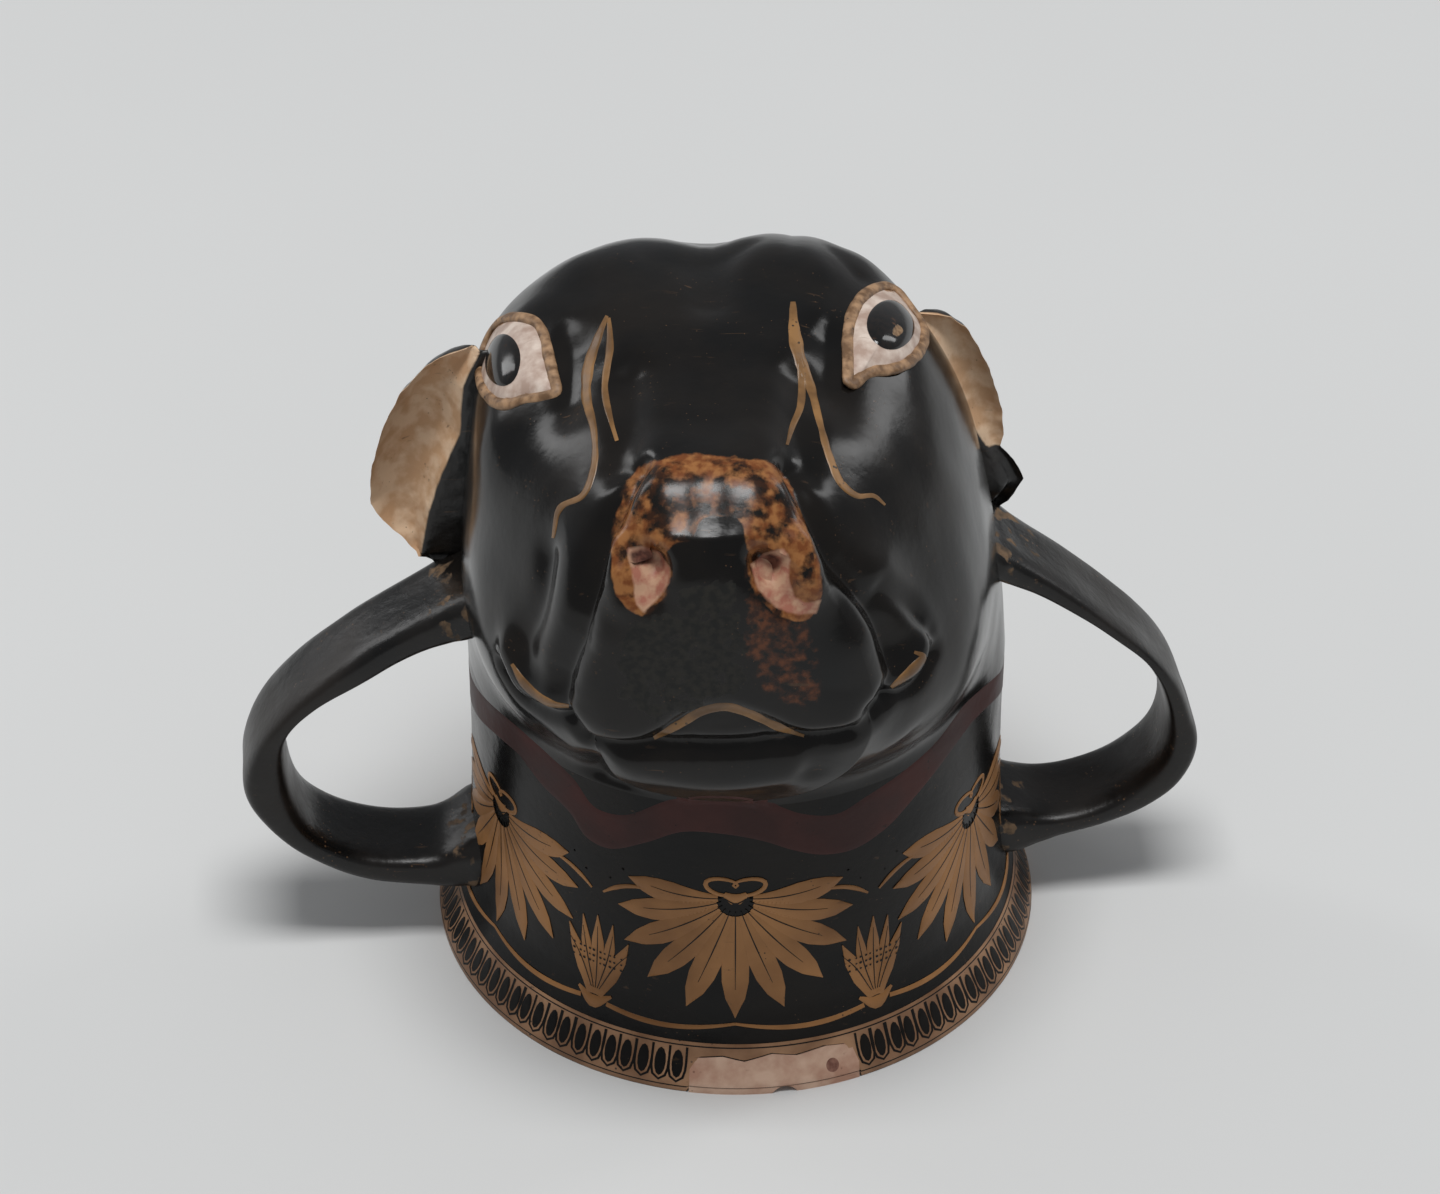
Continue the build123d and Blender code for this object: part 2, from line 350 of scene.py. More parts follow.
# %% Bowl profile
RIM_RADIUS = 0.070
LIP_HEIGHT = 0.020
LIP_EDGE = 0.003
BOWL_WALL = 0.0046
WAIST = 0.0006
OUTSIDE_R = np.array([1.0, 0.993, 0.952, 0.915, 0.890, (NECK_RADIUS + WAIST) / RIM_RADIUS,
                      NECK_RADIUS / RIM_RADIUS]) * RIM_RADIUS
OUTSIDE_Z = np.array([0.0, 0.12, 0.40, 0.70, 1.0, 0.45 * BOWL_HEIGHT / LIP_HEIGHT,
                      BOWL_HEIGHT / LIP_HEIGHT]) * LIP_HEIGHT
OUTSIDE_SLOPES = neighbour_slopes(OUTSIDE_Z, OUTSIDE_R)
# The wall stands upright where it meets the head.
OUTSIDE_SLOPES[-1] = 0.0
# The broken stretch: places across the front, and how high the break runs there.
FILL_HEIGHT = 0.0086
BREAK_X = np.array([-0.150, -0.145, -0.120, -0.040, 0.030, 0.120,
                    0.200, 0.290, 0.370, 0.398, 0.402]) * RIM_RADIUS
BREAK_Z = np.array([-0.30, 0.62, 0.90, 0.96, 0.84, 1.00, 0.90, 1.00, 0.92, 0.45, -0.30]) * FILL_HEIGHT


def bowl_outside(z):
    return smooth_curve(np.asarray(z, dtype=float), OUTSIDE_Z, OUTSIDE_R, OUTSIDE_SLOPES)


def bowl_inside(z):
    """The wall is as thick as the CAD wall above the lip, and thins to the edge below it."""
    thin = 1 - smooth_step(0, LIP_HEIGHT * 0.4, z)
    return bowl_outside(z) - BOWL_WALL + thin * (BOWL_WALL - LIP_EDGE)


def break_height(x, y):
    """How high above the rim the break stands, and zero away from it."""
    height = np.interp(x, BREAK_X, BREAK_Z, left=0, right=0)
    return np.where(np.asarray(y) < 0, np.maximum(height, 0), 0)


print("wall in mm at the rim and above the lip:", LIP_EDGE / MM, BOWL_WALL / MM)

# %% [markdown]
# A Geometry Nodes tree sweeps the profile round a circle, as the wheel did. The
# rows lie close outside, where the painted bands follow them, and wide apart
# inside. Then the grid is pushed up over the broken stretch to make room for the
# fill, and the hand's unevenness goes on, except at the top, where the head sits.

# %% Bowl
BOWL_COLUMNS = 620
LIP_ROWS, WALL_ROWS, INNER_WALL_ROWS, INNER_LIP_ROWS = 44, 72, 16, 18


def read_mesh(piece, what="co"):
    """The places or the normals of a mesh's vertices."""
    flat = np.empty(len(piece.data.vertices) * 3)
    piece.data.vertices.foreach_get(what, flat)
    return flat.reshape(-1, 3)


turned, start, end = new_tree("GeometryNodeTree", "turned_on_wheel", ["Geometry", "Radius", "Columns"])
profile = add_node(turned, "GeometryNodeMeshToCurve", {0: (start, "Geometry")})
circle = add_node(turned, "GeometryNodeCurvePrimitiveCircle",
                  {"Radius": (start, "Radius"), "Resolution": (start, "Columns")})
swept = add_node(turned, "GeometryNodeCurveToMesh",
                 {"Curve": (circle, "Curve"), "Profile Curve": (profile, 0)})
end_tree(turned, swept, end)

up = np.concatenate([np.linspace(0, LIP_HEIGHT, LIP_ROWS),
                     np.linspace(LIP_HEIGHT, BOWL_HEIGHT, WALL_ROWS)[1:]])
down = np.concatenate([np.linspace(BOWL_HEIGHT, LIP_HEIGHT, INNER_WALL_ROWS),
                       np.linspace(LIP_HEIGHT, 0, INNER_LIP_ROWS)[1:]])
ring = [(side(z) - RIM_RADIUS, -z, 0)
        for side, heights in ((bowl_outside, up), (bowl_inside, down)) for z in heights]
links = [(k, (k + 1) % len(ring)) for k in range(len(ring))]
turned_bowl = grown("turned_bowl", bare_mesh("profile", ring, links), turned,
                    Radius=RIM_RADIUS, Columns=BOWL_COLUMNS)

p = read_mesh(turned_bowl)
radius = np.hypot(p[:, 0], p[:, 1])
is_outside = radius > (bowl_outside(p[:, 2]) + bowl_inside(p[:, 2])) / 2
lifted = break_height(p[:, 0], p[:, 1])
z = np.where(p[:, 2] < LIP_HEIGHT, lifted + p[:, 2] * (1 - lifted / LIP_HEIGHT), p[:, 2])
hand = 0.12 * MM * (uneven(p, 0.012, 1) - 1) * smooth_step(BOWL_HEIGHT, BOWL_HEIGHT - 0.015, z)
share = np.where(is_outside, bowl_outside(z) + hand, bowl_inside(z)) / radius
p = np.stack([p[:, 0] * share, p[:, 1] * share, z], -1)
bowl = make_piece("bowl_wall", p, [list(f.vertices) for f in turned_bowl.data.polygons])
bpy.data.objects.remove(turned_bowl)

# %% [markdown]
# A ray through a pixel of the photograph finds the place on a form that shows
# there. Where the ray just misses a form at its outline, the form's nearest point
# takes its place. With that, a path can be drawn over the photograph in pixels
# and carried onto the clay.

# %% Rays and paths on a form
CUP_MIDDLE = Vector((0, -0.03, 0.1))


def ray_of(pixel):
    """The direction from the camera through a pixel of the photograph."""
    x = (pixel[0] - PHOTO_WIDTH / 2) / FOCAL_PIXELS
    y = (PHOTO_HEIGHT / 2 - pixel[1]) / FOCAL_PIXELS
    return (camera.rotation_quaternion @ Vector((x, y, -1))).normalized()


def search_tree(*pieces):
    """A tree that finds what a ray meets on some pieces."""
    points, faces = [], []
    for piece in pieces:
        faces += [[i + len(points) for i in f.vertices] for f in piece.data.polygons]
        points += [v.co.copy() for v in piece.data.vertices]
    return BVHTree.FromPolygons(points, faces)


def meet(tree, pixel):
    """Where the ray of a pixel meets the form, or the form's nearest point to it."""
    ray = ray_of(pixel)
    point, normal, _, _ = tree.ray_cast(eye_point, ray)
    if point is None:
        point, normal, _, _ = tree.find_nearest(eye_point + ray * (CUP_MIDDLE - eye_point).dot(ray))
    return np.array(point), np.array(normal)


def distance_to_path(points, path):
    """How far each point is from a line of points."""
    nearest = np.full(len(points), 1e9)
    for a, b in zip(path[:-1], path[1:]):
        t = np.clip((points - a) @ (b - a) / max((b - a) @ (b - a), 1e-12), 0, 1)
        nearest = np.minimum(nearest, np.linalg.norm(points - a - t[:, None] * (b - a), axis=1))
    return nearest


print("ray to the rim's middle:", [round(value, 3) for value in ray_of(RIM_PIXEL)])

# %% [markdown]
# The mould gave the head its plain form, as thick as the clay pressed into it. It
# is a fine grid outside, which the modelling then moves, and a coarse one inside.

# %% The plain head
BEND_ROWS, INNER_ROWS = 172, 26
outer_rows = head_rows(np.linspace(0, 1, BEND_ROWS), 0.0, MUZZLE_BULGE)
inner_rows = head_rows(np.linspace(0, 0.9, INNER_ROWS), HEAD_WALL, INNER_BULGE)
outer_count = len(outer_rows) * HEAD_COLUMNS
faces = grid_faces(len(outer_rows), HEAD_COLUMNS, True)
plain_head = make_piece("plain_head", outer_rows.reshape(-1, 3), faces)
plain_tree = search_tree(plain_head)
faces += grid_faces(len(inner_rows), HEAD_COLUMNS, True, outer_count)
faces += [[c, (c + 1) % HEAD_COLUMNS, outer_count + (c + 1) % HEAD_COLUMNS, outer_count + c]
          for c in range(HEAD_COLUMNS)]

# %% [markdown]
# Carved and pressed forms are strokes over the head: each is a short path drawn
# over the photograph, carried onto the plain form by the camera's rays, with how
# wide and how deep the modelling goes in millimetres. Grooves go in, folds and
# lips stand out. Real folds in the mesh catch the light, which a painted bump
# would not. Nothing rises above the CAD model's box or passes its front, and
# nothing moves at the bowl's edge.

# %% The strokes over the head
# Each row: width and depth in millimetres, then its paths over the photograph.
STROKES = [
    # The crease that parts the muzzle from the cheek, from the nose pad down to the lip.
    (3.4, -3.0, [(636, 468), (616, 508), (601, 545), (590, 590), (583, 635), (566, 680), (572, 715)],
     [(792, 468), (813, 511), (836, 557), (862, 590), (884, 637), (891, 675), (874, 708)]),
    # The cheek swells just outside it, and the muzzle just inside.
    (7, 1.5, [(575, 560), (565, 610), (552, 650)], [(880, 575), (905, 620)]),
    (8, 2.0, [(606, 640), (596, 680), (606, 716)], [(860, 650), (868, 685), (848, 716)]),
    # Hollows beside the bridge.
    (5.5, -2.4, [(628, 375), (627, 430), (618, 460)], [(801, 375), (800, 430), (806, 460)]),
    (7, -0.8, [(607, 480), (592, 530)], [(820, 480), (845, 535)]),
    # The pad stands out a little along its top.
    (7, 1.3, [(645, 490), (705, 480), (775, 492)]),
    # Nostrils: deepest under the pad's edge, shallow towards the lip, each with a wing.
    (3.3, -4.2, [(640, 558), (652, 564)], [(764, 562), (772, 568)]),
    (3.6, -1.9, [(650, 578), (647, 592)]),
    (3.4, -1.9, [(774, 582), (788, 598)]),
    (3.6, 1.8, [(618, 545), (617, 575), (624, 600)]),
    (4.6, 2.3, [(802, 545), (809, 568), (810, 586)]),
    (4, 0.9, [(676, 560), (684, 580)]),
    # The slit of the mouth, arched up in the middle.
    (2.5, -2.9, [(584, 738), (606, 745), (650, 747), (700, 749), (760, 747), (806, 741), (850, 731)]),
    (2.0, -1.2, [(656, 738), (698, 714), (728, 711), (756, 719), (797, 736)]),
    (3.0, -1.0, [(690, 730), (728, 726), (765, 733)]),
    # The mouth's corners are little folded lobes.
    (4.5, 2.2, [(512, 652), (524, 678), (545, 694), (570, 703)], [(922, 642), (912, 662), (896, 676)]),
    (2.4, -2.2, [(504, 668), (522, 697), (566, 717)], [(932, 652), (918, 680), (890, 696)]),
    (4, -1.3, [(548, 560), (540, 610), (525, 640)]),
    (2.6, -1.6, [(880, 590), (905, 605), (926, 632)]),
    # The sockets swell, so that the eyes stand out at the head's outline.
    (12, 2.3, [(497, 340), (492, 362), (494, 388), (496, 430)]),
    (11, 1.4, [(905, 318), (905, 350)]),
    # Brow, temples, and the two swellings of the crown with a cleft between them.
    (12, 1.0, [(520, 296), (560, 285)]),
    (7, -1.8, [(577, 350), (570, 400)], [(828, 340), (832, 390)]),
    (10, 1.7, [(590, 264), (637, 247), (676, 250)]),
    (10, 2.3, [(748, 247), (790, 243), (850, 262)]),
    (6.5, -1.8, [(711, 246), (709, 300)]),
    # The chin under the mouth, with a groove at each side.
    (7, 1.6, [(640, 770), (720, 776), (780, 768)]),
    (3.4, -1.5, [(596, 756), (606, 790), (625, 806)]),
    (3.4, -1.1, [(815, 750), (811, 768)]),
    # Shallow grooves round the sockets of the eyes.
    (2.6, -0.5, [(564, 330), (567, 372), (566, 398)], [(836, 390), (832, 345), (838, 305), (858, 280)]),
]
STROKE_STEPS = 14
BACK_FROM = 0.06
BOX_MARGIN, BOX_EASE = 0.1 * MM, 1.5 * MM


def held_within(values, limit):
    """Values that ease towards a limit instead of passing it."""
    over = values - (limit - BOX_EASE)
    return np.where(over > 0, limit - BOX_EASE * np.exp(-np.maximum(over, 0) / BOX_EASE), values)


p = outer_rows.reshape(-1, 3).copy()
n = np.array([plain_tree.find_nearest(Vector(q))[1] for q in p])
push = np.zeros(len(p))
front = p[:, 1] < BACK_FROM
for width, depth, *paths in STROKES:
    for path in paths:
        line = np.array([meet(plain_tree, pixel)[0] for pixel in along(path, STROKE_STEPS)])
        push[front] += depth * MM * np.exp(-((distance_to_path(p[front], line) / (width * MM)) ** 2))
push += 0.18 * MM * uneven(p, 0.011, 2)
from_bowl = np.minimum(np.arange(len(p)) // HEAD_COLUMNS / (BEND_ROWS - 1), 1)
p += n * (push * smooth_step(0.0, 0.09, from_bowl))[:, None]
p[:, 2] = held_within(p[:, 2], cad_high[2] - BOX_MARGIN)
p[:, 1] = -held_within(-p[:, 1], -cad_low[1] - BOX_MARGIN)
head = make_piece("head", np.concatenate([p, inner_rows.reshape(-1, 3)]), faces)
head_tree = search_tree(head)
bpy.data.objects.remove(plain_head)

# %% [markdown]
# Each handle is a strap that the potter rolled out, bent and luted on. Its outer
# and inner edges are two smooth lines in the handle's own plane, and a squarish
# section runs between them. It flares where clay was smeared onto the wall.

# %% Handles
TURN = math.radians(6.0)
STRAP_WIDTH = 0.022
STRAP_ROWS, STRAP_COLUMNS = 150, 48
STRAP_SQUARENESS = 0.55
FLARE_LENGTH, FLARE_WIDTH = 0.07, 0.22
STRAP_FOOT = 0.060
# Each point: millimetres from the cup's axis and above the floor.
LEFT_OUTER = [(57, 101.5), (70, 94), (82, 86.8), (94.5, 77.6), (105.5, 67), (113, 56), (115.4, 45),
              (111.4, 36.4), (100, 24.3), (88.5, 17.6), (77, 14.4), (64.5, 13.2), (59, 13.4)]
LEFT_INNER = [(55, 88.5), (62, 86), (67, 84.8), (87.5, 74), (96, 69.3), (102.5, 62.7), (104, 48),
              (99, 32.4), (90, 26.3), (78.4, 23.6), (69, 24.2), (62, 28.3), (57, 31)]
RIGHT_OUTER = [(54, 107), (61, 101), (76.6, 88), (84.7, 80.4), (93.8, 71), (101.3, 61), (105.5, 50.5),
               (107.6, 44), (104.3, 31), (97.5, 24.5), (87.4, 20), (76, 16.5), (68, 13.6), (59, 13.2)]
RIGHT_INNER = [(52, 98), (57.5, 94), (66.8, 88.6), (75.7, 82.6), (85.4, 74.7), (93.2, 67), (96.4, 61),
               (97.2, 36.5), (90.8, 30), (81.4, 25.2), (73, 24), (62.8, 26.7), (56, 29.5)]


def tube_faces(rows, columns):
    """Quads of a grid that closes round, and a face over each end."""
    last = (rows - 1) * columns
    return grid_faces(rows, columns, True) + [list(range(columns))[::-1], list(range(last, last + columns))]


def turned_about(points, angle):
    """Points turned about the upright axis."""
    c, s = math.cos(angle), math.sin(angle)
    x, y, z = np.moveaxis(points, -1, 0)
    return np.stack([x * c - y * s, x * s + y * c, z], -1)


def strap(name, outer, inner, side, draw_in, seed):
    """A strap between two edge lines, mirrored to its side of the cup."""
    outer, inner = along(outer, STRAP_ROWS) * MM, along(inner, STRAP_ROWS) * MM
    for line in (outer, inner):
        line[:, 0] = mix(STRAP_FOOT, line[:, 0], draw_in)
    middle, half = (outer + inner) / 2, (outer - inner) / 2
    t = np.linspace(0, 1, STRAP_ROWS)[:, None]
    flare = np.exp(-((t / FLARE_LENGTH) ** 2)) + np.exp(-(((1 - t) / FLARE_LENGTH) ** 2))
    a = np.linspace(0, ROUND, STRAP_COLUMNS, endpoint=False)
    u, v = squarish(np.cos(a), STRAP_SQUARENESS), squarish(np.sin(a), STRAP_SQUARENESS)
    # The outer face is a little hollow along its middle.
    v = v * (1 - 0.10 * (1 - u**2) * (v > 0))
    heart = np.stack([side * middle[:, :1], 0 * t, middle[:, 1:]], -1)
    wide = STRAP_WIDTH / 2 * (1 + FLARE_WIDTH * flare)
    out = np.stack([side * half[:, :1] * v, wide * u, half[:, 1:] * v], -1)
    p = turned_about(heart + out, TURN).reshape(-1, 3)
    away = unit(turned_about(out, TURN).reshape(-1, 3))
    smear = 0.7 * np.repeat(flare, STRAP_COLUMNS) * uneven(p, 0.004, seed + 1)
    hand = 0.22 * (uneven(p, 0.009, seed) - 0.9) + smear
    return make_piece(name, p + away * hand[:, None] * MM, tube_faces(STRAP_ROWS, STRAP_COLUMNS))


handle_left = strap("handle_left_strap", LEFT_OUTER, LEFT_INNER, -1, 0.968, 3)
handle_right = strap("handle_right_strap", RIGHT_OUTER, RIGHT_INNER, 1, 0.985, 5)

# %% [markdown]
# The ears are thin leaves of clay, cupped towards the front. Their edges broke
# long ago, so the outline is uneven. A leaf is a shell: a front face and a back
# face that meet in a rounded rim, with its root inside the head.

# %% Ears
LEAF_ROWS, LEAF_COLUMNS = 84, 30
LEAF_THICK, LEAF_THINNING = 3.4, 1.0
LEAF_PLACE = 9.0 * math.cos(TURN)
# Each point: millimetres above the floor and across. The line is where the hollow starts.
LEFT_EDGE = [(151.3, -58.5), (149.5, -63.5), (147, -67.4), (140.6, -73), (132.4, -77), (120.2, -80.5),
             (111.3, -81), (106.2, -78.5), (101.9, -75), (96.5, -71.0), (94.0, -67.0)]
LEFT_LINE = [(151.3, -55.5), (142.7, -59.3), (130, -60.6), (120, -64.8), (109, -68.3), (97, -70.4),
             (94, -66)]
RIGHT_EDGE = [(153.6, 40.0), (152.5, 46.4), (149.6, 49.8), (146, 51.9), (138, 55.5), (127, 58.7),
              (120, 59.3), (116.6, 58.6), (114.4, 60.7), (110.5, 63.2), (107.3, 64.3), (101.3, 61.2),
              (98.0, 56.0)]
RIGHT_LINE = [(153.6, 38), (146, 42.5), (138, 46), (127, 50.5), (120, 54.5), (116.6, 56.5), (107, 60),
              (98.0, 54)]


def set_mask(piece, name, values):
    """A number on each vertex, which a material reads as an attribute."""
    layer = piece.data.attributes.new(name, "FLOAT", "POINT")
    layer.data.foreach_set("value", np.asarray(values, dtype=np.float32))


def leaf(name, edge, line, root, cup, seed, clay_from):
    """A cupped leaf from its root in the head to its broken edge, with a clay mask for its hollow."""
    edge, line = np.array(edge, dtype=float), np.array(line, dtype=float)
    z = np.linspace(edge[0, 0], edge[-1, 0], LEAF_ROWS)
    nibble = [abs(noise.noise(Vector((0, 0, h / 4.5 + seed)))) for h in z]
    x_edge = (np.interp(-z, -edge[:, 0], edge[:, 1]) - np.sign(root) * 0.7 * np.array(nibble))[:, None]
    x_line = np.interp(-z, -line[:, 0], line[:, 1])[:, None]
    s = np.linspace(0, 1, LEAF_COLUMNS)[None, :]
    x, width = mix(root, x_edge, s), x_edge - x_line
    share = np.clip((x - x_line) / np.where(np.abs(width) < 1, 1, width), 0, 1)
    ends = np.sqrt(np.clip(1 - np.abs(np.linspace(-1, 1, LEAF_ROWS)) ** 7, 0.02, 1))[:, None]
    rim = np.sqrt(np.clip(1 - s**10, 0.01, 1))
    thick = (LEAF_THICK - LEAF_THINNING * s) * ends * rim
    hollow = cup * np.abs(width) * np.sin(math.pi * share) ** 0.8 - 1.2 * np.exp(-((share / 0.25) ** 2))
    front = LEAF_PLACE + x * math.sin(TURN) + hollow + (LEAF_THICK - thick) * 0.4
    loop_x = np.concatenate([x, x[:, ::-1]], 1)
    loop_y = np.concatenate([front, (front + thick)[:, ::-1]], 1)
    p = np.stack([loop_x, loop_y, z[:, None] + 0 * loop_x], -1).reshape(-1, 3) * MM
    p[:, 1] += (0.4 * uneven(p, 0.007, seed) + 0.2 * uneven(p, 0.0025, seed + 1)) * MM
    piece = make_piece(name, p, tube_faces(LEAF_ROWS, 2 * LEAF_COLUMNS))
    q = read_mesh(piece) / MM
    past_line = np.sign(root) * (q[:, 0] - np.interp(-q[:, 2], -line[:, 0], line[:, 1]))
    faces_front = smooth_step(0.45, -0.25, read_mesh(piece, "normal")[:, 1])
    high = smooth_step(clay_from - 2, clay_from + 2, q[:, 2])
    set_mask(piece, "clay", smooth_step(-1.8, 1.8, past_line) * faces_front * high)
    return piece


ear_left = leaf("ear_left_leaf", LEFT_EDGE, LEFT_LINE, -44, 0.42, 11, 96)
ear_right = leaf("ear_right_leaf", RIGHT_EDGE, RIGHT_LINE, 32, 0.34, 13, 117)

# %% [markdown]
# The floor is one plain pale sheet. One wide soft lamp hangs overhead, and two
# weak ones stand behind at the sides, so that the glossy slip stays dark in front
# and only its edges and ridges catch the light.

# %% Floor, lamps and world
floor = make_piece("floor", [(-5, -5, 0), (5, -5, 0), (5, 5, 0), (-5, 5, 0)], [[0, 1, 2, 3]])
for name, place, width, height, watts in (
    ("lamp_left", (-1.1, 0.75, 0.70), 0.30, 0.8, 2.6),
    ("lamp_right", (1.1, 0.70, 0.80), 0.25, 0.7, 2.2),
    ("lamp_top", (0.0, -0.30, 2.4), 1.3, 0.6, 40),
):
    light = bpy.data.lights.new(name, "AREA")
    light.shape, light.size, light.size_y, light.energy = "RECTANGLE", width, height, watts
    stand(add_object(name, light), place, (0, 0, 0.06))
scene.world = bpy.data.worlds.new("studio")
scene.world.use_nodes = True
sky = scene.world.node_tree.nodes["Background"]
sky.inputs["Color"].default_value = (0.80, 0.82, 0.85, 1)
sky.inputs["Strength"].default_value = 0.30
print("lamps:", len(bpy.data.lights))

# %% [markdown]
# Each eye is a low dome of white clay in a teardrop socket, with a raised black
# pupil and a thin rolled lid round it. The teardrop's outline is drawn over the
# photograph and carried onto the head, so eye and lid follow the brow's curve. A
# smooth patch is fitted there first, because the modelled brow is too uneven to
# carry a dome.

# %% Eyes
LEFT_EYE = [(479, 364), (481, 346), (490, 330), (504, 320), (520, 318), (536, 323), (545, 337), (549, 355),
            (553, 374), (554, 393), (543, 398), (525, 400), (508, 405), (495, 402), (485, 391), (480, 378)]
RIGHT_EYE = [(849, 381), (848, 362), (847, 340), (852, 315), (864, 296), (879, 288), (897, 289), (913, 300),
             (923, 316), (924, 334), (919, 351), (906, 364), (890, 370), (873, 373), (861, 378), (852, 384)]
AROUND, DOME_ROWS, ROLL_COLUMNS = 120, 44, 14
DOME_HEIGHT, DOME_SUNK, PUPIL_HEIGHT, SKIRT = 2.0, 0.1, 0.9, 3.0
PIT_PIXELS, PIT_REACH = (5, 8), 24
PATCH_PIXELS, PATCH_ORDER = 40, 4


def ring_faces(rows, columns, wrap):
    """Quads of a grid whose last row also joins its first."""
    return [[i % (rows * columns) for i in face] for face in grid_faces(rows + 1, columns, wrap)]


class Patch:
    """A smooth patch under an eye, fitted to where the rays of its outline and inside meet the head."""

    def __init__(self, ring, heart):
        self.heart = heart
        spots = [mix(heart, q, s) for s in np.linspace(0.05, 0.97, 10) for q in ring[::4]]
        met = np.array([meet(head_tree, q)[0] for q in spots])
        self.fit = np.linalg.lstsq(self.powers(spots), met, rcond=None)[0]

    def powers(self, pixels):
        """Products of the two pixel coordinates up to the patch's order."""
        x, y = ((np.asarray(pixels, dtype=float) - self.heart) / PATCH_PIXELS).T
        pairs = [(i, j) for i in range(PATCH_ORDER + 1) for j in range(PATCH_ORDER + 1 - i)]
        return np.stack([x**i * y**j for i, j in pairs], -1)

    def at(self, pixels):
        return self.powers(pixels) @ self.fit

    def normals(self, pixels):
        right = self.at(pixels + [0.5, 0]) - self.at(pixels - [0.5, 0])
        up = self.at(pixels - [0, 0.5]) - self.at(pixels + [0, 0.5])
        return unit(np.cross(right, up))


def eye_dome(name, ring, patch, pupil, size, pit_depth):
    """A dome over a teardrop, with masks for pupil, pit and painted shade round its edge."""
    s = np.repeat(np.linspace(0, 1, DOME_ROWS), AROUND)
    pixels = mix(patch.heart, np.tile(ring, (DOME_ROWS, 1)), s[:, None])
    from_pupil = np.linalg.norm((pixels - pupil) / size, axis=1)
    # The pit, where the pupil's paint chipped off, lies low and to the right in it.
    from_pit = np.linalg.norm(pixels - pupil - PIT_PIXELS, axis=1) / PIT_REACH
    pupil_rise = PUPIL_HEIGHT * np.sqrt(np.clip(1 - from_pupil**2, 0, 1))
    pit_fall = pit_depth * np.exp(-((from_pit / 0.18) ** 2))
    height = DOME_HEIGHT * (1 - s**2.4) - DOME_SUNK + pupil_rise - pit_fall
    facing = unit(mix(unit(patch.normals(ring).mean(0)), np.array(eye_point.normalized()), 0.55))
    points = patch.at(pixels) + facing * height[:, None] * MM
    skirt = points[-AROUND:] - facing * SKIRT * MM
    faces = grid_faces(DOME_ROWS + 1, AROUND, True) + [list(range(len(points), len(points) + AROUND))]
    piece = make_piece(name, np.concatenate([points, skirt]), faces)
    # The masks follow the points by place, because merging changed their order.
    known = KDTree(len(points))
    for k, spot in enumerate(points):
        known.insert(spot, k)
    known.balance()
    order = [known.find(spot)[1] for spot in read_mesh(piece)]
    set_mask(piece, "pupil", smooth_step(1.06, 0.94, from_pupil)[order])
    set_mask(piece, "pit", (smooth_step(0.28, 0.12, from_pit) * (pit_depth > 0))[order])
    # Painted shade: the edge mask darkens the dome's outer fifth, where it sinks under the lid.
    set_mask(piece, "edge", 0.75 * smooth_step(0.80, 1.0, s)[order])
    return piece


def rolled_lid(name, ring, patch, radius, seed):
    """A thin roll of clay along the teardrop, half sunk in the head."""
    foot, normal = patch.at(ring), patch.normals(ring)
    side = np.cross(unit(np.roll(foot, -1, 0) - np.roll(foot, 1, 0)), normal)
    swell = radius * (1 + 0.16 * uneven(foot, 0.003, seed))[:, None]
    rows = [foot + side * math.cos(a) * swell * 1.2 + normal * (math.sin(a) * swell * 0.75 + radius * 0.2)
            for a in np.linspace(0, ROUND, ROLL_COLUMNS, endpoint=False)]
    return make_piece(name, np.stack(rows, 1).reshape(-1, 3), ring_faces(len(ring), ROLL_COLUMNS, True))


def eye_ground(outline, pupil):
    """The ring of an eye's outline in pixels, and the patch of the head under it."""
    ring = along(outline + outline[:1], AROUND + 1)[:-1]
    return ring, Patch(ring, mix(np.mean(outline, axis=0), pupil, 0.6))


LEFT_PUPIL, RIGHT_PUPIL = np.array([505, 362]), np.array([889, 327.5])
left, right = eye_ground(LEFT_EYE, LEFT_PUPIL), eye_ground(RIGHT_EYE, RIGHT_PUPIL)
eye_left = eye_dome("eye_left_dome", *left, LEFT_PUPIL, (18.5, 26), 0.0)
eye_right = eye_dome("eye_right_dome", *right, RIGHT_PUPIL, (24, 25), 0.5)
lid_left = rolled_lid("lid_left_roll", *left, 1.05 * MM, 21)
lid_right = rolled_lid("lid_right_roll", *right, 1.1 * MM, 22)

# %% [markdown]
# The painter left thin lines in the colour of the clay: veins down the face, a
# line on the lip and one at each corner of the mouth. Each is a thin strip that
# hugs the form, a tenth of a millimetre proud with its edges sunk, so its outline
# stays crisp at any distance. The same brush paints the bowl further down.

# %% Painted lines on the head
PIXEL_MM = 0.237
HEAD_LIFT, HEAD_SUNK = 0.10, -0.12
